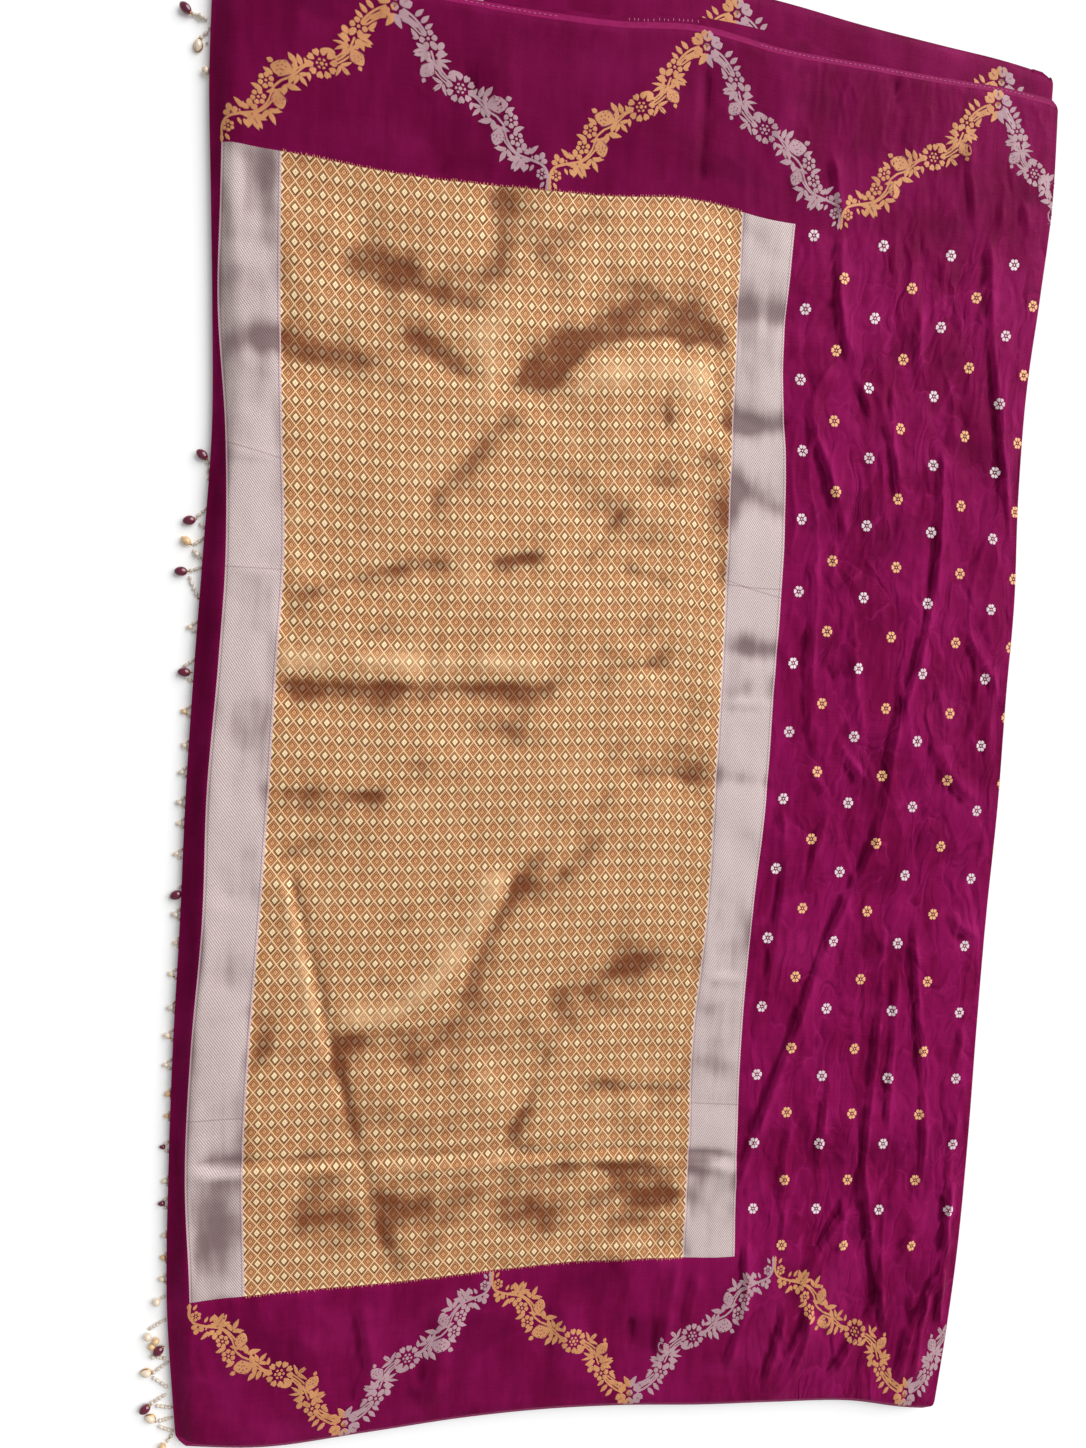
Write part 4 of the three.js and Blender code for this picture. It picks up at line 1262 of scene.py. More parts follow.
# ---- Finishes ------------------------------------------------------------------------------
class Term:
    """A number in a finish's nodes, so that a pattern can be written as a sum."""

    def __init__(self, finish, socket):
        self.finish = finish
        self.socket = socket

    def work(self, operation, *others, clamp=False):
        node = self.finish.add("ShaderNodeMath")
        node.operation = operation
        node.use_clamp = clamp
        for place, value in enumerate((self, *others)):
            self.finish.feed(node.inputs[place], value)
        return Term(self.finish, node.outputs[0])

    def __add__(self, other):
        return self.work("ADD", other)

    def __sub__(self, other):
        return self.work("SUBTRACT", other)

    def __mul__(self, other):
        return self.work("MULTIPLY", other)

    def __truediv__(self, other):
        return self.work("DIVIDE", other)

    def rounded(self):
        return self.work("ROUND")

    def size(self):
        return self.work("ABSOLUTE")

    def fraction(self):
        return self.work("FRACT")

    def wave(self, length):
        """A sine wave of that length."""
        return (self * (2 * math.pi / length)).work("SINE")

    def most(self, other):
        return self.work("MAXIMUM", other)

    def clamped(self):
        return self.work("ADD", 0.0, clamp=True)

    def ramp(self, low, high):
        """Soft step from 0 at low to 1 at high; low may be the greater."""
        node = self.finish.add("ShaderNodeMapRange")
        node.interpolation_type = "SMOOTHSTEP"
        self.finish.feed(node.inputs["Value"], self)
        flip = low > high
        node.inputs["From Min"].default_value = min(low, high)
        node.inputs["From Max"].default_value = max(low, high)
        node.inputs["To Min"].default_value = 1.0 if flip else 0.0
        node.inputs["To Max"].default_value = 0.0 if flip else 1.0
        return Term(self.finish, node.outputs["Result"])

    def hump(self, low, high, soft):
        """1 between low and high, fading to 0 over soft on both sides."""
        return self.ramp(low - soft, low + soft) * self.ramp(high + soft, high - soft)


class Finish:
    """A material being put together: its nodes and its main shader."""

    def __init__(self, name):
        self.material = bpy.data.materials.new(name)
        self.material.use_nodes = True
        self.tree = self.material.node_tree
        self.shader = self.tree.nodes["Principled BSDF"]

    def add(self, kind):
        return self.tree.nodes.new(kind)

    def feed(self, socket, value):
        if isinstance(value, Term):
            value = value.socket
        if isinstance(value, bpy.types.NodeSocket):
            self.tree.links.new(value, socket)
        else:
            socket.default_value = value

    def set(self, **values):
        """Even values of the main shader, by socket name with underscores."""
        for name, value in values.items():
            socket = self.shader.inputs[name.replace("_", " ")]
            socket.default_value = value

    def split(self, vector):
        node = self.add("ShaderNodeSeparateXYZ")
        self.feed(node.inputs[0], vector)
        return [Term(self, node.outputs[k]) for k in range(3)]

    def flat(self):
        """s and w of the flat cloth in millimetres."""
        node = self.add("ShaderNodeUVMap")
        node.uv_map = "flat"
        s, w, _ = self.split(node.outputs["UV"])
        return s / MM, w / MM

    def object_places(self):
        """Object coordinates in millimetres."""
        node = self.add("ShaderNodeTexCoord")
        return [term / MM for term in self.split(node.outputs["Object"])]

    def attribute(self, name):
        node = self.add("ShaderNodeAttribute")
        node.attribute_name = name
        return Term(self, node.outputs["Fac"])

    def vector(self, first, second, third=0.0):
        node = self.add("ShaderNodeCombineXYZ")
        for socket, value in zip(node.inputs, (first, second, third)):
            self.feed(socket, value)
        return node.outputs[0]

    def noise(self, first, second, first_size, second_size, detail=2.0, rough=0.5, third=0.0):
        """Noise from 0 to 1 whose swings have the given sizes."""
        places = self.vector(first / first_size, second / second_size, third)
        node = self.add("ShaderNodeTexNoise")
        node.inputs["Scale"].default_value = 1.0
        node.inputs["Detail"].default_value = detail
        node.inputs["Roughness"].default_value = rough
        self.feed(node.inputs["Vector"], places)
        return Term(self, node.outputs["Fac"])

    def facets(self, first, second, first_size, second_size):
        """Facets of crumpled cloth: the distance to the nearest rim, and each one's own tone."""
        places = self.vector(first / first_size, second / second_size)
        terms = []
        for feature, output in (("DISTANCE_TO_EDGE", "Distance"), ("F1", "Color")):
            node = self.add("ShaderNodeTexVoronoi")
            node.voronoi_dimensions = "2D"
            node.feature = feature
            node.inputs["Scale"].default_value = 1.0
            self.feed(node.inputs["Vector"], places)
            terms.append(node.outputs[output])
        return Term(self, terms[0]), self.split(terms[1])[0]

    def mix(self, share, low, high):
        """Colour between low and high."""
        node = self.add("ShaderNodeMix")
        node.data_type = "RGBA"
        colours = [socket for socket in node.inputs if socket.type == "RGBA"]
        self.feed(node.inputs["Factor"], share)
        for socket, value in zip(colours, (low, high)):
            self.feed(socket, (*value, 1.0) if isinstance(value, (tuple, Color)) else value)
        return next(socket for socket in node.outputs if socket.type == "RGBA")

    def over(self, colour, *coats):
        """A colour with others laid over it, each with its share."""
        for share, coat in coats:
            colour = self.mix(share, colour, coat)
        return colour

    def bump(self, height, depth, strength):
        """Fine relief of the weave; height runs from 0 to 1, depth is in metres."""
        node = self.add("ShaderNodeBump")
        node.inputs["Strength"].default_value = strength
        node.inputs["Distance"].default_value = depth
        self.feed(node.inputs["Height"], height)
        self.tree.links.new(node.outputs["Normal"], self.shader.inputs["Normal"])

    def colour(self, value):
        self.feed(self.shader.inputs["Base Color"], value)

    def roughness(self, value):
        self.feed(self.shader.inputs["Roughness"], value)


def silk_finish(name, colours):
    """Plum silk with a satin sheen, partly real and partly painted: painted shade in the creases, painted
    highlights on the crests.
    """
    finish = Finish(name)
    s, w = finish.flat()
    crest = finish.attribute("crest")
    tilt = finish.attribute("tilt")
    clouds = finish.noise(s, w, 46, 90, 3.0, 0.55)
    crumple = finish.noise(s, w, 14, 60, 3.0, 0.55, 3.1)
    streak = finish.noise(s, w, 2.6, 40, 2.0, 0.6, 9.4)
    slub = finish.noise(s, w, 26, 1.1, 2.0, 0.6, 7.7)
    bent_s = s + (finish.noise(s, w, 34, 60, 2.0, 0.5, 1.7) - 0.5) * 60 + w * 0.1
    bent_w = w + (finish.noise(s, w, 34, 60, 2.0, 0.5, 4.9) - 0.5) * 110
    rim, face = finish.facets(bent_s, bent_w, 30, 95)
    fine_rim, fine_face = finish.facets(bent_s - bent_w * 0.3, bent_w, 14, 40)
    loose = (s.ramp(430, 540) * 0.8 + 0.2) * (w.ramp(1030, 980) * 0.75 + 0.25) * w.ramp(-2, 3)
    # Each facet's own tone is painted shading of the crumpled facets, laid in with the random tone of the
    # silk.
    facet_shading = (face * 0.6 + fine_face * 0.4 - 0.5) * loose
    tone = clouds * 0.5 + crumple * 0.28 + streak * 0.08 + slub * 0.14 + facet_shading * 0.2
    # satin: broad noise patches of painted sheen, lighter in the crest colour and darker in the end colour.
    satin = finish.noise(s, w, 64, 52, 3.0, 0.5, 12.5)
    # Painted highlights along the rims of the facets where the crumple is light, and painted shade just
    # beside the rims.
    bright = rim.ramp(0.035, 0.0) * crumple.ramp(0.45, 0.6)
    bright = bright + fine_rim.ramp(0.05, 0.0) * clouds.ramp(0.48, 0.6)
    # Painted highlights on ridges and on slopes facing the painted light, with lighter random tone; painted
    # shade in hollows and on slopes facing away.
    highlight_and_tone = (crest * 0.4 + tilt * 0.45 + (tone - 0.5) * 1.8).ramp(0.2, 1.2) * 0.7 + bright * loose * 0.6
    rim_shade = rim.hump(0.04, 0.1, 0.04) * crumple.ramp(0.54, 0.42) * loose
    dark = (crest * -0.8 + tilt * -0.4).ramp(0.4, 1.1) * 0.75 + rim_shade * 0.3
    # Painted shade: the borders are darkened, the upper one more and most towards the loose end, and so is
    # the end strip, which falls away from the light.
    border = (w.ramp(996, 1010) + w.ramp(132, 118) * 0.6) * s.ramp(820, 160)
    panel = w.ramp(116, 134) * w.ramp(1012, 994)
    end = s.ramp(FLAT_ACROSS[1] + 4.0, FLAT_ACROSS[1] - 4.0) * (panel * 0.75 + 0.25)
    finish.colour(finish.over(
        colours.deep,
        (tone.ramp(0.38, 0.6), colours.ground),
        (satin.ramp(0.52, 0.72) * 0.5, colours.crest),
        (satin.ramp(0.46, 0.3) * 0.4, colours.end),
        (highlight_and_tone.clamped(), colours.crest),
        (dark.clamped(), colours.crease),
        (border * 0.5, colours.end),
        (end * (tone.ramp(0.7, 0.3) * 0.35 + 0.5), colours.end),
    ))
    weave = s.wave(0.55) * w.wave(0.55) * 0.5 + 0.5
    finish.roughness(crumple * 0.16 + 0.34)
    height = (rim.ramp(0.0, 0.4) * 0.7 + fine_rim.ramp(0.0, 0.35) * 0.25) * loose
    height = height + crumple * 0.3 + streak * 0.05 + slub * 0.08 + weave * 0.03
    finish.bump(height, 0.0018, 1.0)
    finish.set(Specular_IOR_Level=0.022, Specular_Tint=(1.0, 0.06, 0.4, 1.0), Anisotropic=0.3)
    tangent = finish.add("ShaderNodeTangent")
    tangent.direction_type = "UV_MAP"
    tangent.uv_map = "flat"
    finish.tree.links.new(tangent.outputs[0], finish.shader.inputs["Tangent"])
    return finish.material


def selvedge_finish(name, colours):
    """Woven edge: a firm close rib in a brighter plum."""
    finish = Finish(name)
    s, w = finish.flat()
    rib = s.wave(0.9) * 0.5 + 0.5
    patch = finish.noise(s, w, 9, 3, 2.0)
    finish.colour(finish.mix(patch * 0.7 + rib * 0.3, colours.selvedge_deep, colours.selvedge))
    finish.roughness(patch * 0.1 + 0.45)
    finish.bump(rib * 0.5 + patch * 0.5, 0.0003, 0.6)
    finish.set(Specular_IOR_Level=0.05)
    return finish.material


LATTICE_COLUMNS = 36        # cells of the gold field's lattice along the cloth
LATTICE_ROWS = 69           # and across it


def gold_brocade_finish(name, colours):
    """Gold brocade: a slanting lattice with a bright diamond in every other cell."""
    finish = Finish(name)
    s, w = finish.flat()
    wide = (FLAT_ACROSS[3] - FLAT_ACROSS[2]) / LATTICE_COLUMNS
    high = (FLAT_UP[3] - FLAT_UP[2]) / LATTICE_ROWS
    from_s = (s - FLAT_ACROSS[2]) / wide
    from_w = (w - FLAT_UP[2]) / high
    one = from_s + from_w
    two = from_s - from_w
    one_off = one - one.rounded()
    two_off = two - two.rounded()
    ring = one_off.size().most(two_off.size())
    odd = ((one.rounded() + two.rounded()) * 0.5).fraction() * 2.0
    odd = odd.size().clamped()
    even = odd * -1.0 + 1.0
    # Painted relief light and shade: in the upper half of each cell the hearts and the gaps round them are
    # lighter, and the odd cells' rings darker.
    upper = (one_off - two_off).ramp(-0.12, 0.12)
    heart = ring.ramp(0.255, 0.22) * (ring.ramp(0.03, 0.08) * 0.6 + 0.4) * (upper * 0.15 + 0.85)
    rims = ring.ramp(0.42, 0.45) + ring.hump(0.335, 0.365, 0.02) * 0.4
    gaps = ring.hump(0.255, 0.34, 0.02) * (upper * -0.35 + 1.0) + ring.hump(0.37, 0.42, 0.02) * 0.75
    pips = ring.hump(0.09, 0.16, 0.02) * 0.6
    lay = two.wave(1 / 5) * 0.5 + 0.5
    knot = one.wave(1 / 7) * 0.5 + 0.5
    hatch = lay * (knot * 0.5 + 0.5)
    bright = even * heart
    line = (rims + odd * pips).clamped()
    rings = ring.hump(0.17, 0.25, 0.02) + ring.hump(0.34, 0.42, 0.02)
    dark = even * gaps + odd * rings * (upper * 0.2 + 0.5)
    crest = finish.attribute("crest")
    clouds = finish.noise(s, w, 60, 60, 3.0)
    grain = finish.noise(s, w, 1.3, 1.3, 2.0, 0.6, 2.2)
    patches = finish.noise(s, w, 26, 20, 2.0, 0.5, 6.6)
    # lean is painted shade and light over the field: from the depth of the nearby folds, the slope, the lift
    # over the surroundings and noises, so some patches have no fold under them.
    lean = finish.attribute("tilt") * (clouds * -0.9 - 0.3) + crest * -0.2 + (clouds + patches - 1.0) * 1.1
    finish.colour(finish.over(
        colours.dull,
        ((hatch * 0.6 + grain * 0.6 - 0.05).clamped(), colours.ground),
        (line * (hatch * 0.3 + 0.7), colours.line),
        (dark.clamped() * 0.95, colours.gap),
        (bright.clamped(), colours.bright),
        # Painted shade where lean is high, and painted light in the line colour where it is low.
        (lean.ramp(0.0, 0.95) * 0.85, colours.shade),
        (lean.ramp(0.0, -1.0) * 0.35, colours.line),
    ))
    finish.roughness(grain * 0.15 + 0.4)
    finish.bump((bright + line * 0.7 - dark * 0.8) * 0.5 + hatch * 0.12 + grain * 0.1, 0.0006, 0.8)
    finish.set(Metallic=0.12, Specular_IOR_Level=0.25, Specular_Tint=(1.0, 0.8, 0.55, 1.0))
    return finish.material


PRESSED_LINES = ((786.0, 0.2), (699.0, -0.02), (273.0, 0.02))      # w of each, and its lean


def silver_twill_finish(name, colours):
    """Silver band: fine slanting twill, with a pinkish line along both edges."""
    finish = Finish(name)
    s, w = finish.flat()
    crest = finish.attribute("crest")
    rib = (s + w * 0.7).wave(1.9) * 0.5 + 0.5
    cross = (s * 0.5 - w).wave(1.4) * 0.5 + 0.5
    twill = rib * 0.6 + cross * 0.25 + rib * cross * 0.15
    clouds = finish.noise(s, w, 70, 42, 2.0)
    strip = finish.noise(s, w, 8, 50, 2.0, 0.5, 6.3)
    grain = finish.noise(s, w, 1.4, 1.4, 2.0, 0.6, 5.1)
    # lean is painted shade over the band: from the depth of the nearby folds, the slope, the lift over the
    # surroundings and noises.
    lean = finish.attribute("tilt") * -0.95 + crest * -0.2 + (clouds * 0.65 + strip * 0.35 - 0.5) * 1.6
    edge = s * 0.0
    for start, stop in ((FLAT_ACROSS[1], FLAT_ACROSS[2]), (FLAT_ACROSS[3], FLAT_ACROSS[4])):
        edge = edge + s.hump(start - 0.4, start + 0.9, 0.2) + s.hump(stop - 0.9, stop + 0.4, 0.2)
    dots = edge * 0.0
    for line, inset in ((1, 1.9), (2, -1.9), (3, 1.9), (4, -1.9)):
        place = FLAT_ACROSS[line] + inset
        dots = dots + s.hump(place - 0.3, place + 0.3, 0.25)
    pressed = w * 0.0
    for place, slant in PRESSED_LINES:
        line = w + s * slant - place - slant * 35
        pressed = pressed + line.hump(-0.5, 0.5, 0.35)
    finish.colour(finish.over(
        colours.dull,
        ((twill * 0.75 + grain * 0.4 - 0.05).clamped(), colours.ground),
        (lean.ramp(-0.15, 0.7) * 0.85, colours.shade),
        (edge.clamped() * 0.8, colours.edge),
        ((dots * (rib * 0.5 + 0.3)).clamped(), colours.thread),
        ((pressed * (cross * 0.5 + 0.1)).clamped(), colours.thread),
    ))
    finish.roughness(grain * 0.15 + 0.38)
    finish.bump(twill * 0.6 + grain * 0.2, 0.0004, 0.8)
    finish.set(Metallic=0.05, Specular_IOR_Level=0.2)
    return finish.material


def zari_finish(name, ground, dull):
    """Metal thread of the motifs, with the fine steps of its weave."""
    finish = Finish(name)
    x, y, _ = finish.object_places()
    grain = finish.noise(x, y, 0.9, 0.9, 2.0, 0.6)
    clouds = finish.noise(x, y, 26, 26, 2.0, 0.5, 4.0)
    rib = (x * 0.7 + y).wave(1.2) * 0.5 + 0.5
    tone = grain * 0.4 + clouds * 0.3 + rib * 0.3
    finish.colour(finish.mix(tone.ramp(0.25, 0.7), dull, ground))
    finish.roughness(grain * 0.2 + 0.32)
    finish.bump(rib * 0.4 + grain * 0.6, 0.0003, 0.6)
    finish.set(Metallic=0.04, Specular_IOR_Level=0.12)
    return finish.material


def thread_finish(name, colour):
    """Plain spun thread, with the lay of its strands."""
    finish = Finish(name)
    x, y, _ = finish.object_places()
    strand = finish.noise(x, y, 0.5, 0.5, 2.0, 0.6)
    deep = tuple(channel * 0.72 for channel in colour)
    finish.colour(finish.mix(strand, deep, colour))
    finish.roughness(strand * 0.2 + 0.55)
    finish.bump(strand, 0.0002, 0.5)
    return finish.material


def bead_finish(name, colour, depth, **values):
    """Polished bead: a little cloudiness of colour under a glossy skin."""
    finish = Finish(name)
    x, y, _ = finish.object_places()
    cloud = finish.noise(x, y, 2.2, 2.2, 2.0, 0.5)
    finish.colour(finish.mix(cloud, depth, colour))
    finish.roughness(cloud * 0.1 + values.pop("gloss"))
    finish.set(**values)
    return finish.material


# ---- The bead fringe -----------------------------------------------------------------------
# A bead: its kind, and where it lies in plan. A drop also has the way that its tip points.
Bead = namedtuple("Bead", "kind x y turn", defaults=(0,))
# A string of small beads is walked through these points, from the cloth's edge and back.
BeadString = namedtuple("BeadString", "beads path")
FRINGE_STRINGS = [BeadString(*row) for row in (
    # By the upper border.
    ("sscs", [(-281, 504), (-270, 501)]),
    ("sbs", [(-275, 487), (-267, 496)]),
    # Upper part of the pallu, where four drops hang close together.
    ("sbs", [(-262, 187), (-261, 172)]),
    ("bsb", [(-269, 145), (-260, 154)]),
    ("bsb", [(-267, 141), (-260, 134)]),
    ("bsb", [(-271, 124), (-262, 131)]),
    ("scsb", [(-271, 121), (-262, 111)]),
    ("sbs", [(-273, 105), (-264, 108)]),
    ("sbsbg", [(-273, 101), (-271, 95), (-266, 84)]),
    # Middle.
    ("bsb", [(-276, 33), (-266, 40)]),
    ("sbs", [(-275, 26), (-266, 20)]),
    ("sbs", [(-275, -136), (-268, -128)]),
    # The thick tangle at the lower corner.
    ("sgs", [(-278, -460), (-281, -462)]),
    ("sbsgsb", [(-277, -479), (-290, -487)]),
    ("ssgs", [(-284, -509), (-276, -512)]),
    ("bsbs", [(-274, -514), (-286, -523)]),
    ("sbsb", [(-286, -526), (-274, -536)]),
    ("bsbs", [(-275, -541), (-287, -548)]),
    ("sbsb", [(-283, -550), (-270, -553)]),
    ("sbsb", [(-281, -563), (-270, -561)]),
    ("bsbs", [(-281, -567), (-269, -573)]),
    ("sgs", [(-270, -575), (-274, -581)]),
)]
FRINGE_BEADS = [Bead(*row) for row in (
    ("plum_drop", -285, 506, 140),
    ("pearl_drop", -276, 482, 260),
    ("seed", -270, 485),
    ("pearl", -270, 465),
    ("plum_drop", -266, 191, 140),
    ("plum_drop", -274, 142, 195),
    ("golden_drop", -276, 127, 145),
    ("plum_drop", -279, 104, 185),
    ("plum_drop", -275, 29, 180),
    ("plum_drop", -277, -141, 205),
    ("pearl", -284, -464),
    ("pearl", -290, -492),
    ("golden", -284, -496),
    ("golden", -287, -500),
    ("plum_drop", -282, -504, 220),
    ("clear", -286, -509),
    ("pearl_drop", -291, -522, 175),
    ("plum_drop", -291, -551, 215),
    ("pearl_drop", -287, -560, 150),
    ("golden", -277, -584),
)]
# Along the rest of the edge small clusters peep out, one every so often, but not in these spans.
CLUSTER_RUN = (530.0, -586.0)
CLUSTER_GAPS = [(76, 515), (16, 44), (-150, -120), (-592, -455)]
BEAD_SIZES = {                # radius along the string and across it
    "s": (1.45, 1.5),
    "b": (2.5, 1.35),
    "g": (0.8, 0.85),
    "c": (2.3, 2.4),
}
# The larger beads. Round ones: finish, radius, height of the middle, and how many faces round
# and down. Drops: finish, length, width and how far the tip narrows.
ROUND_BEADS = {
    "pearl": ("pearl_bead", 3.0, 2.9, 18, 14),
    "golden": ("golden", 2.9, 2.8, 18, 14),
    "clear": ("clear_bead", 2.0, 2.0, 14, 10),
    "seed": ("clear_bead", 1.0, 1.1, 10, 8),
}
DROP_BEADS = {
    "plum_drop": ("plum_bead", 9.6, 7.4, 0.1),
    "pearl_drop": ("pearl_bead", 8.4, 6.0, 0.25),
    "golden_drop": ("golden", 8.4, 6.6, 0.25),
}
DROP_THICKNESS = 0.42         # half the height of a drop, as a share of its width
# The metal cap behind a drop and the ring behind the cap: radii, and place as a share of the
# drop's length behind its middle with a further distance.
DROP_FITTINGS = (((0.75, 1.15, 1.0), 0.47, 0.0), ((0.6, 0.55, 0.55), 0.47, 1.2))
THREAD_HALF_WIDTH = 0.18
# Beads gathered in one piece, and the record's finish for each.
FRINGE_SLOTS = {"clear_bead": "clear_bead", "pearl_bead": "pearl_bead", "golden": "pearl_bead",
                "gold_bead": "gold_bead", "plum_bead": "plum_bead"}
STRUNG_KINDS = {"s": "clear_bead", "b": "clear_bead", "c": "clear_bead", "g": "gold_bead"}


class BeadWork:
    """Beads lying on the surface, gathered by their finish."""

    def __init__(self):
        self.gathered = {slot: Joined() for slot in FRINGE_SLOTS}
        self.thread = Joined()

    def ball(self, slot, x, y, z, turn, radii, tip=0.0, around=10, down=8):
        """One bead: a ball stretched along the way it points, narrowed towards its tip."""
        blank = bead_blank(around, down)
        across, aside, along = blank.points.T
        narrow = 1 - tip * np.maximum(0, along + 0.3) ** 1.4 / 1.3 ** 1.4
        places = turned_places(x, y, turn, along * radii[0], aside * radii[1] * narrow)
        places = np.column_stack([*places, z + across * radii[2] * narrow])
        self.gathered[slot].add(blank, to_metres(places))

    def drop(self, slot, x, y, turn, length, width, tip):
        """A drop bead on its side, with a small metal cap and ring at its blunt end."""
        thick = width * DROP_THICKNESS
        self.ball(slot, x, y, thick, turn, (length / 2, width / 2, thick), tip, 20, 16)
        for radii, share, further in DROP_FITTINGS:
            at_x, at_y = turned_places(x, y, turn, -(length * share + further), 0.0)
            self.ball("gold_bead", at_x, at_y, thick, turn, radii)

    def bead(self, bead):
        """One of the larger beads by its kind."""
        if bead.kind in ROUND_BEADS:
            slot, radius, height, around, down = ROUND_BEADS[bead.kind]
            radii = (radius, max(radius, height), height)
            self.ball(slot, bead.x, bead.y, height, 0, radii, around=around, down=down)
        else:
            slot, length, width, tip = DROP_BEADS[bead.kind]
            self.drop(slot, bead.x, bead.y, bead.turn, length, width, tip)
        if bead.kind == "pearl_drop":
            self.ball("gold_bead", bead.x, bead.y, 1.4, bead.turn, (4.5, 3.6, 1.3), 0.25, 18, 12)

    def string(self, string):
        """Small beads one after another along a path, with the thread that they are on."""
        line = curve_points(string.path, step=0.5)
        runs = run_lengths(line)
        lengths = [2 * BEAD_SIZES[kind][0] for kind in string.beads]
        spare = (runs[-1] - sum(lengths)) / max(1, len(lengths) - 1)
        place = 0.0
        for kind, length in zip(string.beads, lengths):
            middle = min(max(place + length / 2, 0), runs[-1])
            x = float(np.interp(middle, runs, line[:, 0]))
            y = float(np.interp(middle, runs, line[:, 1]))
            k = int(np.clip(np.searchsorted(runs, middle), 1, len(line) - 1))
            ahead = line[k] - line[k - 1]
            turn = math.degrees(math.atan2(ahead[1], ahead[0]))
            radii = BEAD_SIZES[kind]
            self.ball(STRUNG_KINDS[kind], x, y, radii[1] + 0.15, turn, (radii[0], radii[1], radii[1]))
            place += length + spare
        x, y, up = tape_places(line, THREAD_HALF_WIDTH)
        self.thread.add(ribbon_blank(), to_metres(np.column_stack([x, y, 0.95 + 0.36 * up])))

    def cluster(self, x, y, rng):
        """A small drop between seeds, mostly hidden under the cloth's edge."""
        reach = rng.uniform(2.4, 6.0)
        kind = rng.choice(["golden", "pearl_bead", "clear_bead", "plum_bead"], p=[0.3, 0.4, 0.24, 0.06])
        size = rng.uniform(1.9, 2.6)
        turn = 180 + rng.uniform(-40, 40)
        self.ball(str(kind), x - reach, y, size * 0.9, turn, (size * 1.25, size, size * 0.9), 0.3, 12, 10)
        for side in (-1, 1):
            string = "".join(rng.choice(list("sbsg"), 3))
            start = (x - reach + 1.6, y + side * size * 0.9)
            stop = (x + 3.0, y + side * (size + rng.uniform(1.5, 3.2)))
            middle = ((start[0] + stop[0]) / 2 - 1, (start[1] + stop[1]) / 2 + side * 0.6)
            self.string(BeadString(string, [start, middle, stop]))


# ---- Settings ------------------------------------------------------------------------------
def dye(red, green, blue):
    """A colour given by its everyday values from 0 to 255."""
    def linear(value):
        share = value / 255
        return share / 12.92 if share <= 0.04045 else ((share + 0.055) / 1.055) ** 2.4
    return (linear(red), linear(green), linear(blue))


def colour_setting(name, description, *everyday):
    return bpy.props.FloatVectorProperty(name=name, description=description, size=3, min=0.0, max=1.0,
                                         default=dye(*everyday), subtype="COLOR")


def size_setting(name, description, default):
    return bpy.props.FloatProperty(name=name, description=description, default=default, min=0.0,
                                   subtype="DISTANCE", unit="LENGTH")


def share_setting(name, description, default):
    return bpy.props.FloatProperty(name=name, description=description, default=default, min=0.0, max=4.0,
                                   subtype="FACTOR", unit="NONE")


def number_setting(name, description, default):
    return bpy.props.FloatProperty(name=name, description=description, default=default, min=0.0,
                                   unit="NONE")


def angle_setting(name, description, default):
    return bpy.props.FloatProperty(name=name, description=description, default=math.radians(default),
                                   subtype="ANGLE", unit="ROTATION")


def place_setting(name, description, default):
    return bpy.props.FloatVectorProperty(name=name, description=description, default=default,
                                         subtype="TRANSLATION", unit="LENGTH")


class ClothSettings(bpy.types.PropertyGroup):
    wall: size_setting("Cloth", "Thickness of the cloth of the top layer", 0.0008)
    crease_strength: share_setting("Creases", "How deep the large creases are", 1.3)
    ripple_strength: share_setting("Ripples", "How deep the small unevenness is", 1.0)


class SilkSettings(bpy.types.PropertyGroup):
    ground: colour_setting("Ground", "Colour of the plum silk", 136, 18, 81)
    deep: colour_setting("Deep", "Colour of its darker patches", 117, 12, 63)
    # Colour of the painted highlights on crests and lit slopes, and of the lighter painted sheen.
    crest: colour_setting("Crest", "Colour on the crests of creases", 152, 28, 95)
    # Colour of the painted shade in creases and on slopes facing away from the light.
    crease: colour_setting("Crease", "Colour at the foot of creases", 74, 2, 34)
    # Colour of the painted shade at the loose end and in the borders, and of the darker painted sheen.
    end: colour_setting("End strip", "Deeper colour of the strip at the loose end", 84, 7, 44)
    selvedge: colour_setting("Selvedge", "Colour of the woven edges", 172, 28, 106)
    selvedge_deep: colour_setting("Selvedge deep", "Darker colour of the woven edges", 112, 9, 62)


class GoldSettings(bpy.types.PropertyGroup):
    ground: colour_setting("Ground", "Colour of the gold brocade", 238, 170, 112)
    dull: colour_setting("Dull", "Colour between its stitches", 160, 88, 44)
    # Also the colour of the painted light where the field faces the way of the painted light.
    line: colour_setting("Line", "Colour of the lattice lines", 255, 216, 168)
    gap: colour_setting("Gap", "Colour of the gaps round the diamonds", 66, 22, 6)
    bright: colour_setting("Bright", "Colour of the bright diamonds", 255, 232, 186)
    # Colour of the painted shade over the field's folds and patches.
    shade: colour_setting("Shade", "Colour of its darker patches", 108, 42, 14)


class SilverSettings(bpy.types.PropertyGroup):
    ground: colour_setting("Ground", "Colour of the silver twill", 246, 229, 225)
    dull: colour_setting("Dull", "Colour between its ribs", 148, 124, 126)
    # Colour of the painted shade over the band's folds and patches.
    shade: colour_setting("Shade", "Colour of its darker patches", 112, 86, 88)
    edge: colour_setting("Edge", "Colour of the lines along its edges", 226, 190, 198)
    thread: colour_setting("Thread", "Colour of the dotted lines in it", 120, 84, 88)


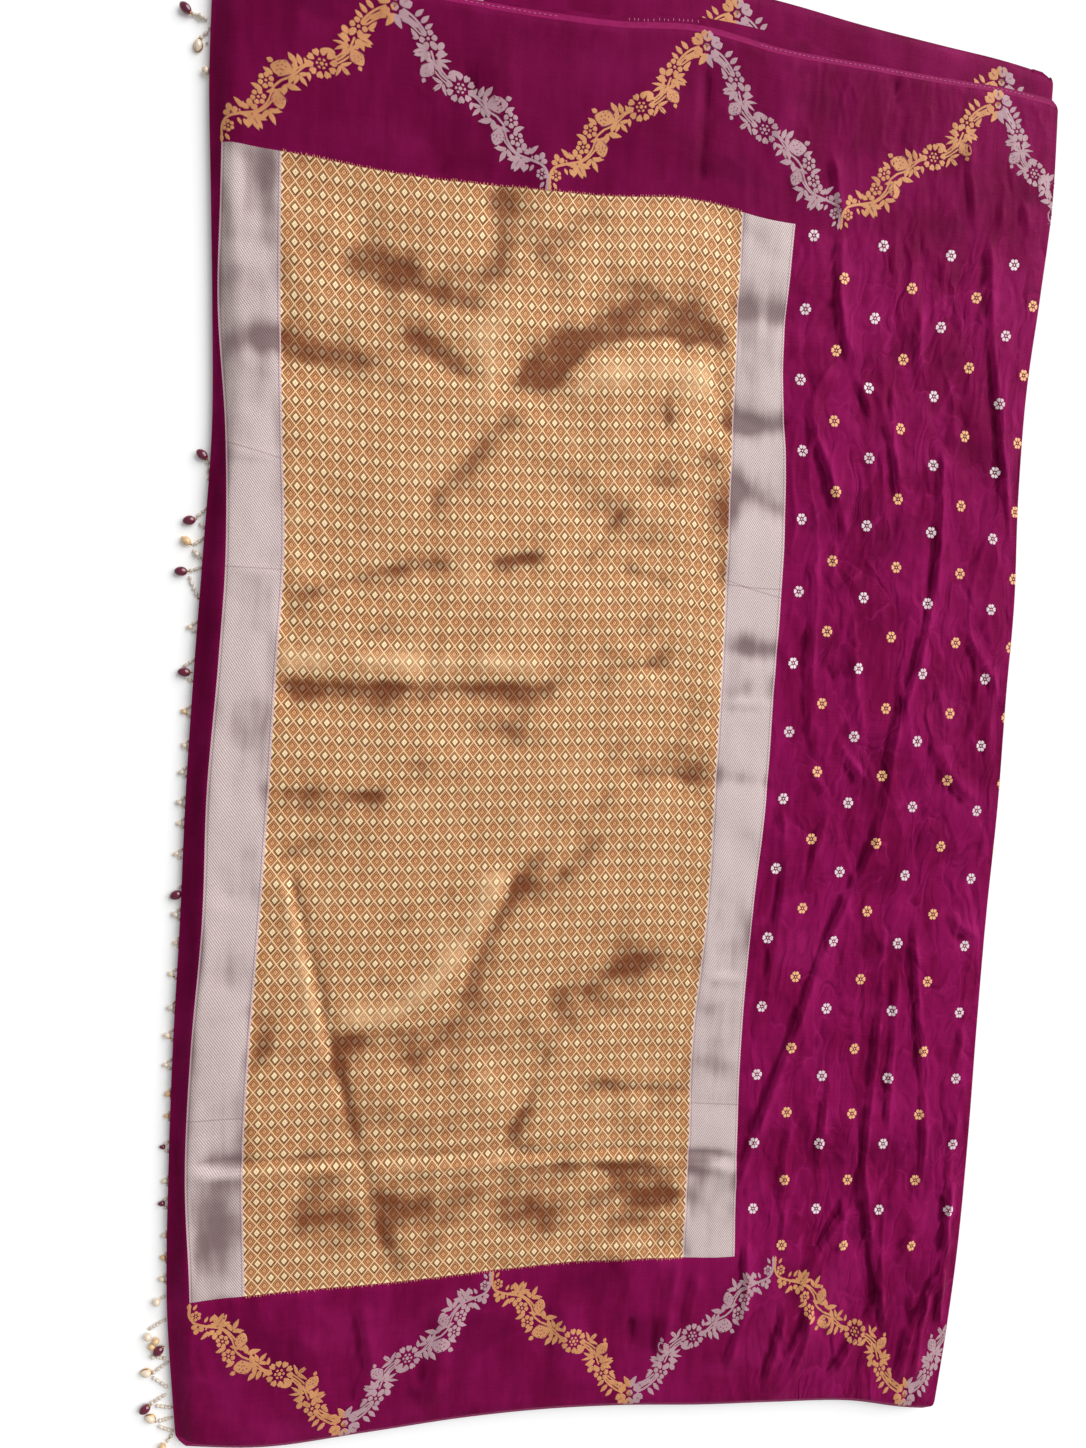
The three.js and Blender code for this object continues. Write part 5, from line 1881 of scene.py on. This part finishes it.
class MotifSettings(bpy.types.PropertyGroup):
    gold: colour_setting("Gold", "Colour of the gold motifs", 228, 168, 116)
    gold_dull: colour_setting("Dull gold", "Darker colour of the gold motifs", 168, 102, 66)
    silver: colour_setting("Silver", "Colour of the silver motifs", 198, 166, 172)
    silver_dull: colour_setting("Dull silver", "Darker colour of the silver motifs", 152, 114, 126)
    bright_gold: colour_setting("Bright gold", "Colour of the small gold flowers", 246, 198, 142)
    bright: colour_setting("Bright silver", "Colour of the small silver flowers", 250, 240, 242)
    stitch: colour_setting("Stitch", "Colour of the pale stitches", 208, 120, 164)


class FringeSettings(bpy.types.PropertyGroup):
    clear: colour_setting("Clear beads", "Colour of the clear beads", 236, 226, 212)
    pearl: colour_setting("Pearls", "Colour of the pearls", 246, 232, 212)
    gold: colour_setting("Gold beads", "Colour of the gold beads", 204, 158, 92)
    plum: colour_setting("Plum drops", "Colour of the plum drops", 118, 8, 54)
    spacing: size_setting("Spacing", "Distance between small bead clusters", 0.0146)


class StageSettings(bpy.types.PropertyGroup):
    floor: colour_setting("Floor", "Colour of the floor", 250, 250, 250)
    camera_place: place_setting("Camera", "Place of the camera, from the middle of the plan",
                                (-0.1512, 0.0485, 0.7714))
    camera_aim: place_setting("Aim", "Point that the camera looks at", (0.0, 0.0, 0.012))
    camera_roll: angle_setting("Roll", "Turn of the camera about its line of sight", 2.72)
    lens: bpy.props.FloatProperty(name="Lens", description="Focal length in millimetres", default=24.12,
                                  min=1.0, unit="CAMERA")
    key_place: place_setting("Key place", "Way that the main light comes from", (1.5, 1.1, 1.35))
    key_power: number_setting("Key light", "Strength of the main soft light", 3.75)
    key_spread: angle_setting("Key spread", "How wide the main light looks", 64)
    sky: number_setting("Sky", "Brightness of the even light all round", 0.3)


# ---- Operators -----------------------------------------------------------------------------
def across_part(start, stop):
    """Columns of the top layer's grid from one upright line to another."""
    return slice(int(ACROSS_STARTS[start]), int(ACROSS_STARTS[stop]) + 1)


def up_part(start, stop):
    """Rows of the top layer's grid from one level line to another."""
    return slice(int(UP_STARTS[start]), int(UP_STARTS[stop]) + 1)


WHOLE_ACROSS = slice(0, int(ACROSS_STARTS[-1]) + NOSE_CELLS + RETURN_CELLS + 1)
BODY_ACROSS = slice(int(ACROSS_STARTS[4]), WHOLE_ACROSS.stop)
ALL = slice(None)
TOP_PIECES = {
    "end_strip": (up_part(2, 3), across_part(0, 1)),
    "silver_band_end": (up_part(2, 3), across_part(1, 2)),
    "gold_field": (up_part(2, 3), across_part(2, 3)),
    "silver_band_body": (up_part(2, 3), across_part(3, 4)),
    "body_ground": (up_part(2, 3), BODY_ACROSS),
    "lower_border": (up_part(1, 2), WHOLE_ACROSS),
    "upper_border": (up_part(3, 4), WHOLE_ACROSS),
    "lower_selvedge": (up_part(0, 1), WHOLE_ACROSS),
    "upper_selvedge": (up_part(4, 5), WHOLE_ACROSS),
}


def face_of_top(context):
    cloth = context.scene.saree_cloth
    return top_surface(round(cloth.crease_strength, 4), round(cloth.ripple_strength, 4))


def make_top_piece(context, node, material):
    """One woven stretch of the top layer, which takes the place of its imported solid."""
    rows, columns = TOP_PIECES[node]
    wall = context.scene.saree_cloth.wall / MM
    mesh = cloth_mesh(f"{node}_cloth", face_of_top(context), rows, columns, 0.0, -wall)
    finished_piece(f"{node}_cloth", mesh, material, (node,))


def material_named(name, make, *values):
    """The finish of that name, made the first time that it is asked for."""
    return bpy.data.materials.get(name) or make(name, *values)


def plum_silk(context):
    return material_named("silk_cloth", silk_finish, context.scene.saree_silk)


def plum_thread(context):
    return material_named("plum_thread", thread_finish, context.scene.saree_silk.ground)


# Metal threads of the motifs, each with the settings of its colour and its darker colour.
METAL_THREADS = {
    "gold_thread": ("gold", "gold_dull"),
    "silver_thread": ("silver", "silver_dull"),
    "bright_gold_thread": ("bright_gold", "gold"),
    "bright_silver_thread": ("bright", "silver"),
}


def metal_thread(context, name):
    colours = [getattr(context.scene.saree_motifs, field) for field in METAL_THREADS[name]]
    return material_named(name, zari_finish, *colours)


class SareeStep:
    """What every step of the saree has in common."""
    bl_options = {"REGISTER", "UNDO"}


class SAREE_OT_silk_stretches(SareeStep, bpy.types.Operator):
    """Makes the plain silk stretches of the top layer: end strip, body and both borders"""
    bl_idname = "saree.silk_stretches"
    bl_label = "Silk stretches"

    def execute(self, context):
        for node in ("end_strip", "body_ground", "lower_border", "upper_border"):
            make_top_piece(context, node, plum_silk(context))
        return {"FINISHED"}


class SAREE_OT_pallu(SareeStep, bpy.types.Operator):
    """Makes the gold field and the two silver bands of the pallu"""
    bl_idname = "saree.pallu"
    bl_label = "Pallu"

    def execute(self, context):
        gold = gold_brocade_finish("gold_brocade", context.scene.saree_gold)
        silver = silver_twill_finish("silver_twill", context.scene.saree_silver)
        make_top_piece(context, "gold_field", gold)
        make_top_piece(context, "silver_band_end", silver)
        make_top_piece(context, "silver_band_body", silver)
        return {"FINISHED"}


class SAREE_OT_selvedges(SareeStep, bpy.types.Operator):
    """Makes the two woven edges of the top layer"""
    bl_idname = "saree.selvedges"
    bl_label = "Selvedges"

    def execute(self, context):
        material = selvedge_finish("woven_edge", context.scene.saree_silk)
        for node in ("lower_selvedge", "upper_selvedge"):
            make_top_piece(context, node, material)
        return {"FINISHED"}


class SAREE_OT_lower_layers(SareeStep, bpy.types.Operator):
    """Makes the seven layers of cloth beneath the top one"""
    bl_idname = "saree.lower_layers"
    bl_label = "Lower layers"

    def execute(self, context):
        silk = plum_silk(context)
        for node, surface in (("second_layer", second_surface()), ("third_layer", third_surface())):
            mesh = cloth_mesh(f"{node}_cloth", surface, ALL, ALL, 0.0, -UNDER_WALL)
            finished_piece(f"{node}_cloth", mesh, silk, (node,))
        half = UNDER_WALL / 2
        mesh = cloth_mesh("hidden_layers_cloth", hidden_surface(), ALL, ALL, half, -half)
        finished_piece("hidden_layers_cloth", mesh, silk, ("hidden_layers",))
        return {"FINISHED"}


class SAREE_OT_garlands(SareeStep, bpy.types.Operator):
    """Makes the gold and silver garlands of both borders and of the third layer"""
    bl_idname = "saree.garlands"
    bl_label = "Garlands"

    def execute(self, context):
        top = face_of_top(context)
        last = top.s[-1] - END_MARGIN
        self.make_pieces(context, top, "", [
            (UPPER_TURNS, UPPER_TIP, UPPER_SCALE, 1),
            (LOWER_TURNS, LOWER_TIP, LOWER_SCALE, -1),
        ], lambda s, w: s < last)
        third = third_surface()
        highest = third.s_at(float(uprights.read("fold", THIRD_LEVEL)) - FOLD_MARGIN)
        runs = []
        for x in THIRD_PEAKS:
            peak = third.s_at(x)
            runs.append(((peak - GARLAND_RUN, peak, peak + GARLAND_RUN), THIRD_TIP, 1.0, 1))
        self.make_pieces(context, third, "_third_layer", runs,
                         lambda s, w: w > -THIRD_SHOWN and END_MARGIN < s < highest)
        return {"FINISHED"}

    def make_pieces(self, context, surface, suffix, lines, keep):
        """Gold where the garland climbs to a peak, silver where it comes down from it."""
        works = {"gold": Embroidery(), "silver": Embroidery()}
        veins = Embroidery(VEIN_LIFT)
        for turns, tip_w, scale, rising in lines:
            for k in range(len(turns) - 1):
                first, second = turns[k:k + 2]
                tip, peak = (first, second) if k % 2 == 0 else (second, first)
                work = works["gold" if k % 2 == 0 else "silver"]
                garland_run(work, veins, tip, peak, tip_w, scale, rising, keep)
        for metal, work in works.items():
            thread = metal_thread(context, f"{metal}_thread")
            work.piece(f"{metal}_garlands{suffix}", surface, thread, f"{metal}_zari")
        veins.piece(f"garland_veins{suffix}", surface, plum_thread(context), "plum_silk")


class SAREE_OT_small_flowers(SareeStep, bpy.types.Operator):
    """Makes the rows of small flowers on the body silk"""
    bl_idname = "saree.small_flowers"
    bl_label = "Small flowers"

    def execute(self, context):
        top = face_of_top(context)
        rng = np.random.default_rng(5)
        groups = (("silver", SILVER_COLUMNS, SILVER_YS), ("gold", GOLD_COLUMNS, GOLD_YS))
        for metal, columns, ys in groups:
            work = Embroidery()
            for s in columns:
                for y in ys:
                    out, fall = flower_shift(s, y)
                    w = top.w_at(s, y - fall)
                    at_s = s + out + rng.uniform(-0.8, 0.8)
                    if at_s - FLOWER_SIZE / 2 > FLAT_ACROSS[-1] + NOSE * math.pi:
                        continue
                    turn = rng.uniform(-5, 5)
                    work.spray(FLOWER_PETALS, at_s, w, turn, FLOWER_SIZE)
                    work.petal(at_s - 0.9, w, 0, 0, 1.8, 1.8, ROUND)
            thread = metal_thread(context, f"bright_{metal}_thread")
            work.piece(f"{metal}_flowers", top, thread, f"{metal}_zari")
        return {"FINISHED"}


class SAREE_OT_edging(SareeStep, bpy.types.Operator):
    """Makes the frayed threads at both ends of the gold field, and the stitches of the edges"""
    bl_idname = "saree.edging"
    bl_label = "Edging and stitches"

    def execute(self, context):
        top = face_of_top(context)
        rng = np.random.default_rng(9)
        frayed = Embroidery()
        for w, turn in ((FLAT_UP[3] - 0.6, 90), (FLAT_UP[2] + 0.6, -90)):
            s = FLAT_ACROSS[2] + 1
            while s < FLAT_ACROSS[3] - 1:
                reach = rng.uniform(1.6, 3.4)
                frayed.petal(s, w, turn + rng.uniform(-24, 24), 0, reach, rng.uniform(0.6, 1.0), LEAF)
                s += rng.uniform(1.5, 2.6)
        frayed.piece("gold_field_edging", top, metal_thread(context, "gold_thread"), "gold_zari")

        material = thread_finish("stitch_thread", context.scene.saree_motifs.stitch)
        stitches = Embroidery()
        for first, last in UPPER_STITCHES:
            x = first
            while x < last:
                s = top.s_at(x)
                stitches.petal(s, FLAT_UP[5] - 2.2 + rng.uniform(-0.2, 0.2), rng.uniform(-5, 5), 0,
                               2.3, 0.55, ROUND)
                x += rng.uniform(3.7, 4.4)
        stitches.piece("upper_stitches", top, material, "selvedge_silk")
        second = second_surface()
        stitches = Embroidery()
        x, last = SECOND_STITCHES
        while x < last:
            s = second.s_at(x)
            stitches.petal(s, -4.6 + rng.uniform(-0.4, 0.4), 90 + rng.uniform(-8, 8), 0, 2.6, 0.6, ROUND)
            x += rng.uniform(2.6, 5.2)
        stitches.piece("second_layer_stitches", second, material, "selvedge_silk")
        return {"FINISHED"}


class SAREE_OT_fringe(SareeStep, bpy.types.Operator):
    """Makes the strung beads and drops at the loose end"""
    bl_idname = "saree.fringe"
    bl_label = "Bead fringe"

    def execute(self, context):
        settings = context.scene.saree_fringe
        work = BeadWork()
        for string in FRINGE_STRINGS:
            work.string(string)
        for bead in FRINGE_BEADS:
            work.bead(bead)
        rng = np.random.default_rng(17)
        y, last = CLUSTER_RUN
        while y > last:
            if not any(low < y < high for low, high in CLUSTER_GAPS):
                work.cluster(float(uprights.read("end", y)), y, rng)
            y -= settings.spacing / MM * rng.uniform(1.1, 1.9)
        finishes = {
            "clear_bead": bead_finish("clear_glass", settings.clear, dye(196, 178, 162), gloss=0.1,
                                      Coat_Weight=0.6),
            "pearl_bead": bead_finish("pearl", settings.pearl, dye(214, 186, 156), gloss=0.16,
                                      Sheen_Weight=0.2, Coat_Weight=0.7, Coat_Roughness=0.1),
            "golden": bead_finish("golden_pearl", dye(238, 210, 166), dye(204, 152, 98), gloss=0.14,
                                  Coat_Weight=0.7, Coat_Roughness=0.1),
            "gold_bead": bead_finish("gold", settings.gold, dye(160, 108, 54), gloss=0.2,
                                     Metallic=0.85),
            "plum_bead": bead_finish("plum_drop", settings.plum, dye(76, 4, 34), gloss=0.14,
                                     Coat_Weight=1.0, Coat_Roughness=0.05),
        }
        for slot, gathered in work.gathered.items():
            mesh = gathered.mesh(f"{slot}s")
            finished_piece(f"{slot}s", mesh, finishes[slot], ("bead_fringe",))
        thread = thread_finish("fringe_thread", dye(232, 214, 210))
        finished_piece("fringe_threads", work.thread.mesh("fringe_threads"), thread)
        return {"FINISHED"}


# Flat length and width of each stretch of cloth before it was folded, in metres, and what it
# lies on and carries.
ClothSheet = namedtuple("ClothSheet", "piece flat held rests_on carries")


class SAREE_OT_declare(SareeStep, bpy.types.Operator):
    """A step that does nothing"""
    bl_idname = "saree.declare"
    bl_label = "Say how the cloth was cut"

    def execute(self, context):
        return {"FINISHED"}


class SAREE_OT_stage(SareeStep, bpy.types.Operator):
    """Makes the floor, the light and the camera"""
    bl_idname = "saree.stage"
    bl_label = "Stage"

    def execute(self, context):
        settings = context.scene.saree_stage
        bm = bmesh.new()
        bmesh.ops.create_grid(bm, x_segments=1, y_segments=1, size=8.0)
        mesh = bpy.data.meshes.new("floor")
        bm.to_mesh(mesh)
        bm.free()
        finish = Finish("floor")
        finish.colour((*settings.floor, 1.0))
        finish.set(Roughness=0.9, Specular_IOR_Level=0.1, Emission_Color=(1, 1, 1, 1), Emission_Strength=0.12)
        mesh.materials.append(finish.material)
        floor = bpy.data.objects.new("floor", mesh)
        context.scene.collection.objects.link(floor)

        key = bpy.data.lights.new("key", "SUN")
        key.angle = settings.key_spread
        key.energy = settings.key_power
        key_object = bpy.data.objects.new("key", key)
        context.scene.collection.objects.link(key_object)
        point_at(key_object, settings.key_place, (0.0, 0.0, 0.0))

        world = bpy.data.worlds.new("sky")
        world.use_nodes = True
        background = world.node_tree.nodes["Background"]
        background.inputs["Color"].default_value = (1.0, 1.0, 1.0, 1.0)
        background.inputs["Strength"].default_value = settings.sky
        context.scene.world = world
        context.scene.view_settings.view_transform = "Standard"

        camera = bpy.data.cameras.new("camera")
        camera.lens = settings.lens
        camera.sensor_width = 36.0
        camera.clip_start = 0.01
        camera.clip_end = 20.0
        camera_object = bpy.data.objects.new("camera", camera)
        context.scene.collection.objects.link(camera_object)
        place = np.array(settings.camera_place) + SHIFT * MM
        aim = np.array(settings.camera_aim) + SHIFT * MM
        point_at(camera_object, place, aim, settings.camera_roll)
        context.scene.camera = camera_object
        return {"FINISHED"}


def point_at(thing, place, aim, roll=0.0):
    """Puts a light or camera at place, looking at aim, with +Y of the plan upwards and a roll."""
    back = np.array(place, float) - np.array(aim, float)
    back = back / np.linalg.norm(back)
    up = np.array([0.0, 1.0, 0.0])
    up = up - back * up.dot(back)
    up = up / np.linalg.norm(up)
    right = np.cross(up, back)
    up = up * math.cos(roll) - right * math.sin(roll)
    right = np.cross(up, back)
    thing.matrix_world = Matrix([*zip(right, up, back, place), (0, 0, 0, 1)])


class SAREE_PT_steps(bpy.types.Panel):
    """The steps of the saree, and its settings"""
    bl_idname = "SAREE_PT_steps"
    bl_label = "Folded saree"
    bl_space_type = "VIEW_3D"
    bl_region_type = "UI"
    bl_category = "Saree"

    def draw(self, context):
        for step in STEPS:
            self.layout.operator(step.bl_idname)
        for name, group in SETTINGS.items():
            box = self.layout.box()
            box.label(text=group.__name__)
            settings = getattr(context.scene, name)
            for field in group.__annotations__:
                box.prop(settings, field)


STEPS = [
    SAREE_OT_silk_stretches,
    SAREE_OT_pallu,
    SAREE_OT_selvedges,
    SAREE_OT_lower_layers,
    SAREE_OT_garlands,
    SAREE_OT_small_flowers,
    SAREE_OT_edging,
    SAREE_OT_fringe,
    SAREE_OT_declare,
    SAREE_OT_stage,
]
SETTINGS = {
    "saree_cloth": ClothSettings,
    "saree_silk": SilkSettings,
    "saree_gold": GoldSettings,
    "saree_silver": SilverSettings,
    "saree_motifs": MotifSettings,
    "saree_fringe": FringeSettings,
    "saree_stage": StageSettings,
}


def register():
    for name, group in SETTINGS.items():
        bpy.utils.register_class(group)
        setattr(bpy.types.Scene, name, bpy.props.PointerProperty(type=group))
    for step in STEPS:
        bpy.utils.register_class(step)
    bpy.utils.register_class(SAREE_PT_steps)


def unregister():
    bpy.utils.unregister_class(SAREE_PT_steps)
    for step in reversed(STEPS):
        bpy.utils.unregister_class(step)
    for name, group in reversed(SETTINGS.items()):
        delattr(bpy.types.Scene, name)
        bpy.utils.unregister_class(group)


def main():
    register()
    bpy.ops.saree.silk_stretches()
    bpy.ops.saree.pallu()
    bpy.ops.saree.selvedges()
    bpy.ops.saree.lower_layers()
    bpy.ops.saree.garlands()
    bpy.ops.saree.small_flowers()
    bpy.ops.saree.edging()
    bpy.ops.saree.fringe()
    bpy.ops.saree.declare()
    bpy.ops.saree.stage()


if __name__ == "__main__":
    main()
